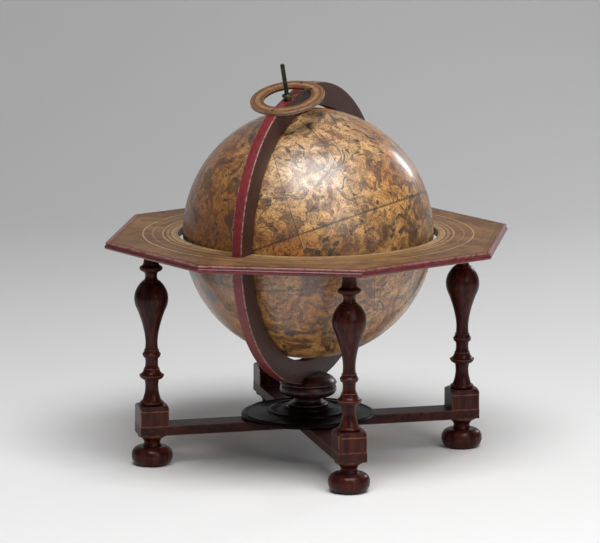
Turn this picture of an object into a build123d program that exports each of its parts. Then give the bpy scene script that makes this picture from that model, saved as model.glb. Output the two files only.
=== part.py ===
from build123d import *
from math import acos, cos, degrees, radians, sin, sqrt, tan
import os

os.makedirs("parts", exist_ok=True)

# Driving dimensions, in millimetres and degrees

# Globe: two hollow half shells on a wooden core
GLOBE_R = 115.0
SHELL_WALL = 4.5
POLE_HOLE_R = 7.0
CORE_ROD_R = 9.0
BLOCK_R = 22.0
BLOCK_DEPTH = 14.0
SOCKET_DEPTH = 8.0
PIN_R = 2.0
PIN_GRIP = 20.0
PIN_POINT = 0.8
PIN_ABOVE_RING = 31.0

# Meridian ring, and how it stands
RING_GAP = 2.5
RING_WIDTH = 21.5
RING_THICK = 10.5
RING_EDGE = 0.6
POLE_TILT = 17.5
MERIDIAN_TURN = 3.3

# Hour circle, its nails and the index
HOUR_R = 34.0
HOUR_HOLE_R = 22.0
HOUR_THICK = 3.0
NAIL_R = 0.6
NAIL_HEAD_R = 1.5
NAIL_HEAD_THICK = 0.6
NAIL_LENGTH = 9.0
NAIL_INSET = 4.8
COLLAR_R = 3.6
COLLAR_NECK_R = 2.9
COLLAR_HEAD = 1.0
HAND_THICK = 1.1
HAND_LENGTH = 25.0
HAND_TURN = 48.0

# Octagonal horizon
HORIZON_GAP = 4.4
HORIZON_BORDER = 33.0
BOARD_THICK = 6.7
PAPER_THICK = 0.3
MOULDING_WIDTH = 4.2
TONGUE_THICK = 2.0
TONGUE_DEPTH = 6.0

# Legs, feet and stretchers
LEG_INSET = 24.4
VASE_R = 15.6
TENON_R = 4.5
TENON_LENGTH = 4.5
BLOCK_WIDTH = 26.5
BLOCK_HEIGHT = 18.8
FOOT_HEIGHT = 28.6
FOOT_R = 18.9
DOWEL_R = 5.0
DOWEL_IN_LEG = 12.0
BAR_THICK = 8.7

# Base disc and pedestal
DISC_R = 62.0
DISC_SEAT_R = 22.6
DISC_HEIGHT = 10.4
PEDESTAL_R = 26.3
PEDESTAL_HEIGHT = 28.95
SLOT_DEPTH = 7.0
SPIGOT_R = 6.0

# Fits
GLUE_GAP = 0.05
PIVOT_GAP = 0.05
RING_SIDE_GAP = 0.35
RING_RIM_GAP = 0.35
BEARING_GAP = 0.5
TURNING_GAP = 0.4

# Worked out from the sizes above
SIDES = 8
SIDE_ANGLE = 360 / SIDES
LEG_ANGLES = [45, 135, 225, 315]
SHELL_INNER_R = GLOBE_R - SHELL_WALL
RING_INNER_R = GLOBE_R + RING_GAP
RING_OUTER_R = RING_INNER_R + RING_WIDTH
SEAT = sqrt(RING_OUTER_R**2 - HOUR_R**2)
HOUR_TOP = SEAT + HOUR_THICK
HAND_BOTTOM = HOUR_TOP + PAPER_THICK + TURNING_GAP
SLOT_R = RING_OUTER_R + RING_RIM_GAP
SLOT_WIDTH = RING_THICK + 2 * RING_SIDE_GAP
BAR_TOP = FOOT_HEIGHT + BAR_THICK
BLOCK_TOP = BAR_TOP + BLOCK_HEIGHT
DISC_TOP = BAR_TOP + DISC_HEIGHT
GLOBE_CENTRE = DISC_TOP + PEDESTAL_HEIGHT - SLOT_DEPTH + SLOT_R
BOARD_TOP = GLOBE_CENTRE - PAPER_THICK
BOARD_BOTTOM = BOARD_TOP - BOARD_THICK
STEM_HEIGHT = BOARD_BOTTOM - BLOCK_TOP
HORIZON_HOLE_R = GLOBE_R + HORIZON_GAP
HORIZON_FLAT = RING_OUTER_R + HORIZON_BORDER
LEG_CIRCLE_R = HORIZON_FLAT - LEG_INSET

# The polar frame has the globe's centre as its origin and the pole along +Z. The ring lies in its YZ plane,
# and -Y is the side where the pole leans down to the horizon.
POLAR = Pos(0, 0, GLOBE_CENTRE) * Rot(0, 0, MERIDIAN_TURN) * Rot(POLE_TILT, 0, 0)


def lathe(start, *cuts):
    """A solid turned about Z. Each cut is a list of (radius, height) points that goes on from the cut before:
    one point is a straight cut, two are an arc through the first, and more are a smooth curve."""
    with BuildSketch(Plane.XZ) as outline:
        with BuildLine():
            here = start
            for cut in cuts:
                if len(cut) == 1:
                    Line(here, cut[0])
                elif len(cut) == 2:
                    ThreePointArc(here, *cut)
                else:
                    Spline(here, *cut)
                here = cut[-1]
            if here != start:
                Line(here, start)
        make_face()
    return revolve(outline.sketch, Axis.Z)


def stretched(cuts, radius, bottom, height):
    """Cuts whose points are given as shares of a radius and of a height, turned into millimetres."""
    return [[(radius * across, bottom + height * up) for across, up in cut] for cut in cuts]


def rod(radius, bottom, top):
    """A round rod on Z between two heights."""
    return Pos(0, 0, (bottom + top) / 2) * Cylinder(radius, top - bottom)


def on_arc(radius, angle):
    """The point (across, up) on a circle about the origin, with the angle measured up from across."""
    return radius * cos(radians(angle)), radius * sin(radians(angle))


def save(name, shape):
    """Write one piece, or one group of like pieces, as a STEP file."""
    export_step(shape, f"parts/{name}.step")


# Globe, built upright in the polar frame

def shell_half(side):
    """One half shell from the equator to its pole hole; side is 1 for north and -1 for south."""
    outer_end = degrees(acos(POLE_HOLE_R / GLOBE_R))
    inner_end = degrees(acos(POLE_HOLE_R / SHELL_INNER_R))
    half = lathe(
        (SHELL_INNER_R, 0),
        [(GLOBE_R, 0)],
        [on_arc(GLOBE_R, outer_end / 2), on_arc(GLOBE_R, outer_end)],
        [on_arc(SHELL_INNER_R, inner_end)],
        [on_arc(SHELL_INNER_R, inner_end / 2), (SHELL_INNER_R, 0)],
    )
    return half if side > 0 else mirror(half, Plane.XY)


BLOCK_BOTTOM = SHELL_INNER_R - BLOCK_DEPTH
ROD_END = BLOCK_BOTTOM + SOCKET_DEPTH
PIN_FOOT = ROD_END - PIN_GRIP


def end_block(side):
    """The turned block glued inside a pole, with the boss that bears against the ring."""
    cap_r = SHELL_INNER_R - GLUE_GAP
    boss_r = POLE_HOLE_R - GLUE_GAP
    edge = degrees(acos(BLOCK_R / cap_r))
    neck = degrees(acos(boss_r / cap_r))
    boss_top = RING_INNER_R - BEARING_GAP
    block = lathe(
        (0, BLOCK_BOTTOM),
        [(BLOCK_R, BLOCK_BOTTOM)],
        [on_arc(cap_r, edge)],
        [on_arc(cap_r, (edge + neck) / 2), on_arc(cap_r, neck)],
        [(boss_r, boss_top)],
        [(0, boss_top)],
    )
    block -= rod(CORE_ROD_R + GLUE_GAP, BLOCK_BOTTOM, ROD_END)
    block -= rod(PIN_R + GLUE_GAP, BLOCK_BOTTOM, boss_top)
    return block if side > 0 else mirror(block, Plane.XY)


def core_rod():
    """The wooden rod between the end blocks, bored at both ends for the pins."""
    core = rod(CORE_ROD_R, -ROD_END, ROD_END)
    core -= rod(PIN_R + GLUE_GAP, PIN_FOOT - GLUE_GAP, ROD_END)
    core -= rod(PIN_R + GLUE_GAP, -ROD_END, GLUE_GAP - PIN_FOOT)
    return core


def pivot_pin(tip):
    """An iron pin along +Z from the core rod to its tip, with a short bevelled point."""
    return lathe(
        (0, PIN_FOOT),
        [(PIN_R, PIN_FOOT)],
        [(PIN_R, tip - PIN_POINT)],
        [(PIN_R - PIN_POINT / 2, tip)],
        [(0, tip)],
    )


save("globe_north_half", POLAR * shell_half(1))
save("globe_south_half", POLAR * shell_half(-1))
save("north_end_block", POLAR * end_block(1))
save("south_end_block", POLAR * end_block(-1))
save("core_rod", POLAR * core_rod())
save("north_pivot_pin", POLAR * pivot_pin(RING_OUTER_R + PIN_ABOVE_RING))
save("south_pivot_pin", POLAR * mirror(pivot_pin(RING_OUTER_R - PIN_POINT), Plane.XY))


# Meridian ring and hour circle, in the polar frame

def nail_places():
    """The two points on the hour circle where it is nailed to the ring, as shifts along Y."""
    return [NAIL_INSET - HOUR_R, HOUR_R - NAIL_INSET]


def meridian_ring():
    """The wooden ring, with the hour circle's seat planed on its rim, two pivot holes and two nail holes."""
    ring = lathe(
        (RING_INNER_R, -RING_THICK / 2),
        [(RING_OUTER_R - RING_EDGE, -RING_THICK / 2)],
        [(RING_OUTER_R, RING_EDGE - RING_THICK / 2)],
        [(RING_OUTER_R, RING_THICK / 2 - RING_EDGE)],
        [(RING_OUTER_R - RING_EDGE, RING_THICK / 2)],
        [(RING_INNER_R, RING_THICK / 2)],
    )
    ring = Rot(0, 90, 0) * ring
    above_seat = RING_OUTER_R - SEAT
    ring -= Pos(0, 0, SEAT + above_seat) * Box(2 * RING_THICK, 2 * HOUR_R, 2 * above_seat)
    ring -= rod(PIN_R + PIVOT_GAP, RING_INNER_R - RING_GAP, RING_OUTER_R)
    ring -= rod(PIN_R + PIVOT_GAP, -RING_OUTER_R, RING_GAP - RING_INNER_R)
    for place in nail_places():
        ring -= Pos(0, place, 0) * rod(NAIL_R + GLUE_GAP, HOUR_TOP - NAIL_LENGTH, SEAT)
    return ring


def annulus(bottom, top):
    """A flat ring of the hour circle's width, with its nail holes."""
    flat = rod(HOUR_R, bottom, top) - rod(HOUR_HOLE_R, bottom, top)
    for place in nail_places():
        flat -= Pos(0, place, 0) * rod(NAIL_R + GLUE_GAP, bottom, top)
    return flat


def hour_circle():
    """The wooden hour circle, with its top edge eased."""
    flat = annulus(SEAT, HOUR_TOP)
    round_edges = flat.edges().filter_by(GeomType.CIRCLE)
    outer_edge = round_edges.filter_by(lambda edge: edge.radius == HOUR_R).sort_by(Axis.Z)[-1]
    return chamfer(outer_edge, RING_EDGE / 2)


def hour_nails():
    """Two headed nails through the hour circle into the ring."""
    head_bottom = HOUR_TOP + PAPER_THICK
    head_top = head_bottom + NAIL_HEAD_THICK
    nail_end = HOUR_TOP - NAIL_LENGTH + GLUE_GAP
    nail = lathe(
        (0, nail_end),
        [(NAIL_R, nail_end)],
        [(NAIL_R, head_bottom)],
        [(NAIL_HEAD_R, head_bottom)],
        [(NAIL_HEAD_R - NAIL_HEAD_THICK, head_top)],
        [(0, head_top)],
    )
    return Compound(children=[Pos(0, place, 0) * nail for place in nail_places()])


save("meridian_ring", POLAR * meridian_ring())
save("hour_circle", POLAR * hour_circle())
save("hour_circle_paper", POLAR * annulus(HOUR_TOP, HOUR_TOP + PAPER_THICK))
save("hour_circle_nails", POLAR * hour_nails())


# Index, in the polar frame: a collar that grips the pin, and the hand riveted to it

def index_collar():
    """The collar, with a shoulder under the hand, a neck through it and a riveted head."""
    hand_top = HAND_BOTTOM + HAND_THICK
    foot = SEAT + TURNING_GAP
    collar = lathe(
        (0, foot),
        [(COLLAR_R, foot)],
        [(COLLAR_R, HAND_BOTTOM)],
        [(COLLAR_NECK_R, HAND_BOTTOM)],
        [(COLLAR_NECK_R, hand_top)],
        [(COLLAR_R, hand_top)],
        [(COLLAR_NECK_R, hand_top + COLLAR_HEAD)],
        [(0, hand_top + COLLAR_HEAD)],
    )
    return collar - rod(PIN_R + PIVOT_GAP, foot, hand_top + COLLAR_HEAD)


def index_hand():
    """The flat hand: an eye round the collar's neck, a tapered arm and an arrow point."""
    eye_r = COLLAR_R + HAND_THICK
    root = HAND_THICK * 1.3
    tip = HAND_THICK * 0.7
    arrow = HAND_LENGTH * 0.8
    outline = make_face(Polyline(
        (0, -root), (arrow, -tip), (arrow, -2.2 * tip), (HAND_LENGTH, 0),
        (arrow, 2.2 * tip), (arrow, tip), (0, root), close=True,
    ))
    flat = outline + Circle(eye_r) - Circle(COLLAR_NECK_R + GLUE_GAP)
    return Rot(0, 0, HAND_TURN) * extrude(Pos(0, 0, HAND_BOTTOM) * flat, HAND_THICK)


save("index_collar", POLAR * index_collar())
save("index_hand", POLAR * index_hand())


# Horizon: eight pieces centred on the corners, butt jointed at the middle of each side

def octagon(flat, bottom, height):
    """An octagonal plate with corners on the axes; flat is the distance from its centre to a side."""
    plate = RegularPolygon(flat, SIDES, major_radius=False, rotation=0)
    return extrude(Pos(0, 0, bottom) * plate, height)


def wedge(middle, reach, bottom, height):
    """One side's share of the octagon as a triangular prism from the centre, for cutting pieces to length."""
    half = reach * tan(radians(SIDE_ANGLE / 2))
    triangle = make_face(Polyline((0, 0), (reach, -half), (reach, half), close=True))
    return Rot(0, 0, middle) * extrude(Pos(0, 0, bottom) * triangle, height)


def ring_slot(gap):
    """The space that the meridian ring needs with its gaps, as a disc on edge about the globe's centre."""
    disc = Rot(0, 90, 0) * Cylinder(RING_OUTER_R + gap, SLOT_WIDTH)
    return Pos(0, 0, GLOBE_CENTRE) * Rot(0, 0, MERIDIAN_TURN) * disc


def leg_place(angle):
    """Where a leg's centre line stands, on the floor."""
    return Rot(0, 0, angle) * Pos(LEG_CIRCLE_R, 0, 0)


def horizon_board():
    """The whole board with its hole, its two notches for the ring and the four sockets for the legs."""
    board = octagon(HORIZON_FLAT, BOARD_BOTTOM, BOARD_THICK)
    board -= rod(HORIZON_HOLE_R, BOARD_BOTTOM, BOARD_TOP)
    board -= ring_slot(2 * RING_RIM_GAP)
    socket = rod(TENON_R + GLUE_GAP, BOARD_BOTTOM, BOARD_BOTTOM + TENON_LENGTH + GLUE_GAP)
    for angle in LEG_ANGLES:
        board -= leg_place(angle) * socket
    return board


def tongue(angle, gap):
    """The loose tongue across one butt joint; with the gap, the groove that it lies in."""
    inner = HORIZON_HOLE_R + TONGUE_DEPTH
    outer = HORIZON_FLAT - TONGUE_DEPTH
    bar = Box(outer - inner + 2 * gap, 2 * TONGUE_DEPTH + 2 * gap, TONGUE_THICK + 2 * gap)
    return Rot(0, 0, angle) * Pos((inner + outer) / 2, 0, BOARD_BOTTOM + BOARD_THICK / 2) * bar


board = horizon_board()
joint_angles = [SIDE_ANGLE * (k + 0.5) for k in range(SIDES)]
grooved_board = board - [tongue(angle, GLUE_GAP) for angle in joint_angles]
for k in range(SIDES):
    corner = SIDE_ANGLE * k
    piece = grooved_board & wedge(corner, 2 * HORIZON_FLAT, BOARD_BOTTOM, BOARD_THICK)
    save(f"horizon_segment_{k + 1}", piece)
save("horizon_tongues", Compound(children=[tongue(angle, 0) for angle in joint_angles]))


def horizon_paper():
    """The printed sheet on the board, cut round the hole and the notches."""
    sheet = octagon(HORIZON_FLAT, BOARD_TOP, PAPER_THICK)
    sheet -= rod(HORIZON_HOLE_R, BOARD_TOP, GLOBE_CENTRE)
    return sheet - ring_slot(2 * RING_RIM_GAP)


save("horizon_paper", horizon_paper())


def edge_moulding():
    """One length of moulding along the side that faces +X: an ovolo, a quirk and an upper bead."""
    height = BOARD_THICK + PAPER_THICK

    def at(across, up):
        return HORIZON_FLAT + across * MOULDING_WIDTH, BOARD_BOTTOM + up * height

    with BuildSketch(Plane.XZ) as section:
        with BuildLine():
            Line(at(0, 0), at(0.40, 0))
            ThreePointArc(at(0.40, 0), at(1, 0.33), at(0.72, 0.60))
            Polyline(at(0.72, 0.60), at(0.62, 0.60), at(0.62, 0.67))
            ThreePointArc(at(0.62, 0.67), at(0.80, 0.82), at(0.45, 0.97))
            Polyline(at(0.45, 0.97), at(0.12, 0.97), at(0, 0.90), at(0, 0))
        make_face()
    reach = HORIZON_FLAT + 2 * MOULDING_WIDTH
    length = extrude(section.sketch, reach, both=True)
    return length & wedge(0, reach, BOARD_BOTTOM, height)


moulding = edge_moulding()
for k, angle in enumerate(joint_angles):
    save(f"edge_moulding_{k + 1}", Rot(0, 0, angle) * moulding)


# Legs, from the stretcher up to the tenon in the horizon

# Shares of the vase's radius, and of the stem's height above the block
STEM_CUTS = [
    [(0.615, 0)],
    [(0.700, 0.012), (0.615, 0.024)],
    [(0.564, 0.024)],
    [(0.423, 0.076), (0.385, 0.125), (0.423, 0.160)],
    [(0.481, 0.161)],
    [(0.654, 0.172), (0.731, 0.190)],
    [(0.538, 0.207), (0.462, 0.232)],
    [(0.410, 0.235)],
    [(0.372, 0.267), (0.397, 0.300)],
    [(0.449, 0.301)],
    [(0.519, 0.312), (0.538, 0.326)],
    [(0.455, 0.338), (0.436, 0.353)],
    [(0.378, 0.356)],
    [(0.359, 0.396), (0.462, 0.483), (0.763, 0.589), (0.962, 0.643), (1, 0.678),
     (0.923, 0.723), (0.718, 0.763), (0.506, 0.789)],
    [(0.442, 0.789)],
    [(0.346, 0.817), (0.474, 0.850)],
    [(0.590, 0.853)],
    [(0.660, 0.861), (0.673, 0.875)],
    [(0.474, 0.892)],
    [(0.417, 0.944), (0.500, 1)],
]

# Shares of the bun's radius, and of the foot's height
FOOT_CUTS = [
    [(0.751, 0)],
    [(0.937, 0.129), (1, 0.343)],
    [(0.910, 0.507), (0.603, 0.607)],
    [(0.497, 0.607)],
    [(0.444, 0.643)],
    [(0.392, 0.736), (0.471, 0.843), (0.667, 0.943)],
]
FOOT_COLLAR_START = 0.943


def turned_leg():
    """One leg about Z at its true height: square block, stem with two rings, vase, cap ring and tenon."""
    inside_block = BLOCK_TOP - TENON_R / 2
    stem = lathe(
        (0, inside_block),
        [(STEM_CUTS[0][0][0] * VASE_R, inside_block)],
        *stretched(STEM_CUTS, VASE_R, BLOCK_TOP, STEM_HEIGHT),
        [(TENON_R, BOARD_BOTTOM)],
        [(TENON_R, BOARD_BOTTOM + TENON_LENGTH)],
        [(0, BOARD_BOTTOM + TENON_LENGTH)],
    )
    dowel_hole = rod(DOWEL_R + GLUE_GAP, BAR_TOP, BAR_TOP + DOWEL_IN_LEG + GLUE_GAP)
    return stem + leg_block() - dowel_hole


def leg_block():
    """The square block, with its upper corners turned off to a round shoulder."""
    corner = BLOCK_WIDTH / sqrt(2)
    shoulder_cuts = [[(1.05, 0)], [(1.05, 0.75)], [(0.915, 0.935), (0.685, 1)]]
    shoulder = lathe(
        (0, BAR_TOP),
        *stretched(shoulder_cuts, corner, BAR_TOP, BLOCK_HEIGHT),
        [(0, BLOCK_TOP)],
    )
    square = Pos(0, 0, (BAR_TOP + BLOCK_TOP) / 2) * Box(BLOCK_WIDTH, BLOCK_WIDTH, BLOCK_HEIGHT)
    return square & shoulder


def turned_foot():
    """One bun foot with its collar under the stretcher, and the dowel that pins stretcher and leg."""
    return lathe(
        (0, 0),
        *stretched(FOOT_CUTS, FOOT_R, 0, FOOT_HEIGHT),
        [(BLOCK_WIDTH / 2, FOOT_COLLAR_START * FOOT_HEIGHT)],
        [(BLOCK_WIDTH / 2, FOOT_HEIGHT)],
        [(DOWEL_R, FOOT_HEIGHT)],
        [(DOWEL_R, BAR_TOP + DOWEL_IN_LEG)],
        [(0, BAR_TOP + DOWEL_IN_LEG)],
    )


leg = turned_leg()
foot = turned_foot()
for k, angle in enumerate(LEG_ANGLES):
    save(f"leg_{k + 1}", leg_place(angle) * leg)
    save(f"foot_{k + 1}", leg_place(angle) * foot)


# Stretchers, half-lapped in a cross under the disc

def stretcher(keeps_bottom):
    """One bar along X with its half lap, its end holes for the dowels and its middle hole for the spigot."""
    length = 2 * LEG_CIRCLE_R + BLOCK_WIDTH
    middle = FOOT_HEIGHT + BAR_THICK / 2
    bar = Pos(0, 0, middle) * Box(length, BLOCK_WIDTH, BAR_THICK)
    lap = Box(BLOCK_WIDTH + 2 * GLUE_GAP, BLOCK_WIDTH, BAR_THICK / 2)
    bar -= Pos(0, 0, middle + (BAR_THICK / 4 if keeps_bottom else -BAR_THICK / 4)) * lap
    bar -= rod(SPIGOT_R + GLUE_GAP, FOOT_HEIGHT, BAR_TOP)
    for side in (-1, 1):
        bar -= Pos(side * LEG_CIRCLE_R, 0, 0) * rod(DOWEL_R + GLUE_GAP, FOOT_HEIGHT, BAR_TOP)
    return bar


save("stretcher_lower", Rot(0, 0, LEG_ANGLES[0]) * stretcher(True))
save("stretcher_upper", Rot(0, 0, LEG_ANGLES[1]) * stretcher(False))


# Base disc and pedestal

# Shares of the way out from the seat's edge to the rim, and of the disc's height
DISC_CUTS = [
    [(0.964, 0)],
    [(1, 0.16), (0.970, 0.34)],
    [(0.934, 0.34)],
    [(0.909, 0.44), (0.878, 0.36)],
    [(0.645, 0.40), (0.416, 0.56)],
    [(0.378, 0.72), (0.327, 0.62)],
    [(0.137, 0.66), (0.036, 0.82)],
    [(0, 1), (-0.056, 1)],
]

# Shares of the bobbin's radius, and of the pedestal's height above the disc
PEDESTAL_CUTS = [
    [(0.654, 0)],
    [(0.692, 0.043), (0.646, 0.085)],
    [(0.494, 0.178), (0.700, 0.339)],
    [(0.985, 0.481), (0.939, 0.687)],
    [(0.916, 0.709)],
    [(1, 0.723)],
    [(1, 0.758)],
    [(0.848, 0.915), (0.589, 1)],
    [(0, 1)],
]


def base_disc():
    """The turned disc on the crossing: a reeded rim, a shallow dish with two rings, and a raised seat."""
    dish_width = DISC_R - DISC_SEAT_R
    cuts = stretched(DISC_CUTS, dish_width, BAR_TOP, DISC_HEIGHT)
    moved_out = [[(DISC_SEAT_R + across, up) for across, up in cut] for cut in cuts]
    disc = lathe((0, BAR_TOP), *moved_out, [(0, DISC_TOP)])
    return disc - rod(SPIGOT_R + GLUE_GAP, BAR_TOP, DISC_TOP)


def pedestal():
    """The turned bobbin with the slot that holds the ring, and the spigot down to the crossing."""
    blank = lathe(
        (0, FOOT_HEIGHT),
        [(SPIGOT_R, FOOT_HEIGHT)],
        [(SPIGOT_R, DISC_TOP)],
        *stretched(PEDESTAL_CUTS, PEDESTAL_R, DISC_TOP, PEDESTAL_HEIGHT),
    )
    return blank - ring_slot(RING_RIM_GAP)


save("base_disc", base_disc())
save("pedestal", pedestal())
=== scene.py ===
"""The looks of an old celestial table globe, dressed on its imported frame.

The row frame has its origin on the floor under the globe's centre, +Z up, in metres. The polar frame has its
origin at the globe's centre and the pole along +Z, and the meridian ring lies in its YZ plane.
"""

import logging  # noqa: E402
import math  # noqa: E402
from dataclasses import dataclass, field  # noqa: E402
from enum import Enum  # noqa: E402
from typing import Any, Iterable, Sequence  # noqa: E402

import bmesh  # noqa: E402
import bpy  # noqa: E402
import numpy as np  # noqa: E402
from mathutils import Matrix, Vector  # noqa: E402


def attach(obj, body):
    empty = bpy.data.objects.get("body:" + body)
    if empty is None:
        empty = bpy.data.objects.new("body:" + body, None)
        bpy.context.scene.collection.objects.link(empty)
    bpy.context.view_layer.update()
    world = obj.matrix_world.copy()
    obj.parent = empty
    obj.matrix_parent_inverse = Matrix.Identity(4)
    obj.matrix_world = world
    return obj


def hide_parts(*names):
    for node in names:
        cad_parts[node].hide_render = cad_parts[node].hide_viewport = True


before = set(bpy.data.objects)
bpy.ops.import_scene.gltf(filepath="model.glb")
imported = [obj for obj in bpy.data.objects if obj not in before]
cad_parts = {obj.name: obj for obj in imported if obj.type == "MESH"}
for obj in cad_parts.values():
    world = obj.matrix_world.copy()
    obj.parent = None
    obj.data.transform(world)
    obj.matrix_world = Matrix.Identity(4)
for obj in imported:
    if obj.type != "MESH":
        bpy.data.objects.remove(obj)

MM = 0.001
Colour = tuple[float, float, float]
Cut = list[tuple[float, float]]
log = logging.getLogger("celestial_globe")


# Where the globe's pole is


@dataclass(frozen=True)
class PolarFrame:
    """The frame that the globe, the meridian ring and the hour circle share."""

    height: float = 209 * MM
    tilt_deg: float = 17.5
    turn_deg: float = 3.3

    def centre(self) -> Vector:
        """The globe's centre."""
        return Vector((0, 0, self.height))

    def matrix(self) -> Matrix:
        """The polar frame's place in the row frame."""
        turn = Matrix.Rotation(math.radians(self.turn_deg), 4, "Z")
        tilt = Matrix.Rotation(math.radians(self.tilt_deg), 4, "X")
        return Matrix.Translation(self.centre()) @ turn @ tilt

    def axis(self, index: int) -> Vector:
        """One of the frame's axes as a direction in the row frame."""
        return self.matrix().to_3x3().col[index].copy()


POLAR = PolarFrame()


# Shader maths


class Signal:
    """A socket of a material's nodes, with Python's operators adding Math nodes."""

    def __init__(self, paint: "Paint", socket: bpy.types.NodeSocket) -> None:
        """Keep the socket and the material that it belongs to."""
        self.paint = paint
        self.socket = socket

    def __add__(self, other: "Signal | float") -> "Signal":
        """The sum."""
        return self.paint.maths("ADD", self, other)

    __radd__ = __add__

    def __sub__(self, other: "Signal | float") -> "Signal":
        """The difference."""
        return self.paint.maths("SUBTRACT", self, other)

    def __rsub__(self, other: "Signal | float") -> "Signal":
        """The difference, from the other side."""
        return self.paint.maths("SUBTRACT", other, self)

    def __mul__(self, other: "Signal | float") -> "Signal":
        """The product."""
        return self.paint.maths("MULTIPLY", self, other)

    __rmul__ = __mul__

    def __truediv__(self, other: "Signal | float") -> "Signal":
        """The quotient."""
        return self.paint.maths("DIVIDE", self, other)

    def __abs__(self) -> "Signal":
        """The size without its sign."""
        return self.paint.maths("ABSOLUTE", self)

    def __pow__(self, other: float) -> "Signal":
        """The value raised to a power."""
        return self.paint.maths("POWER", self, other)

    def least(self, other: "Signal | float") -> "Signal":
        """The smaller of the two."""
        return self.paint.maths("MINIMUM", self, other)

    def most(self, other: "Signal | float") -> "Signal":
        """The larger of the two."""
        return self.paint.maths("MAXIMUM", self, other)

    def fraction(self) -> "Signal":
        """The part after the point."""
        return self.paint.maths("FRACT", self)

    def rise(self, low: float, high: float) -> "Signal":
        """A smooth step from 0 at low to 1 at high."""
        node = self.paint.node(
            "ShaderNodeMapRange",
            {"interpolation_type": "SMOOTHSTEP", "clamp": True},
            {"Value": self, "From Min": low, "From Max": high},
        )
        return Signal(self.paint, node.outputs["Result"])

    def line(self, half: float, soft: float) -> "Signal":
        """1 where the value is within half of zero, fading to 0 over soft."""
        return 1.0 - abs(self).rise(half, half + soft)


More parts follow.
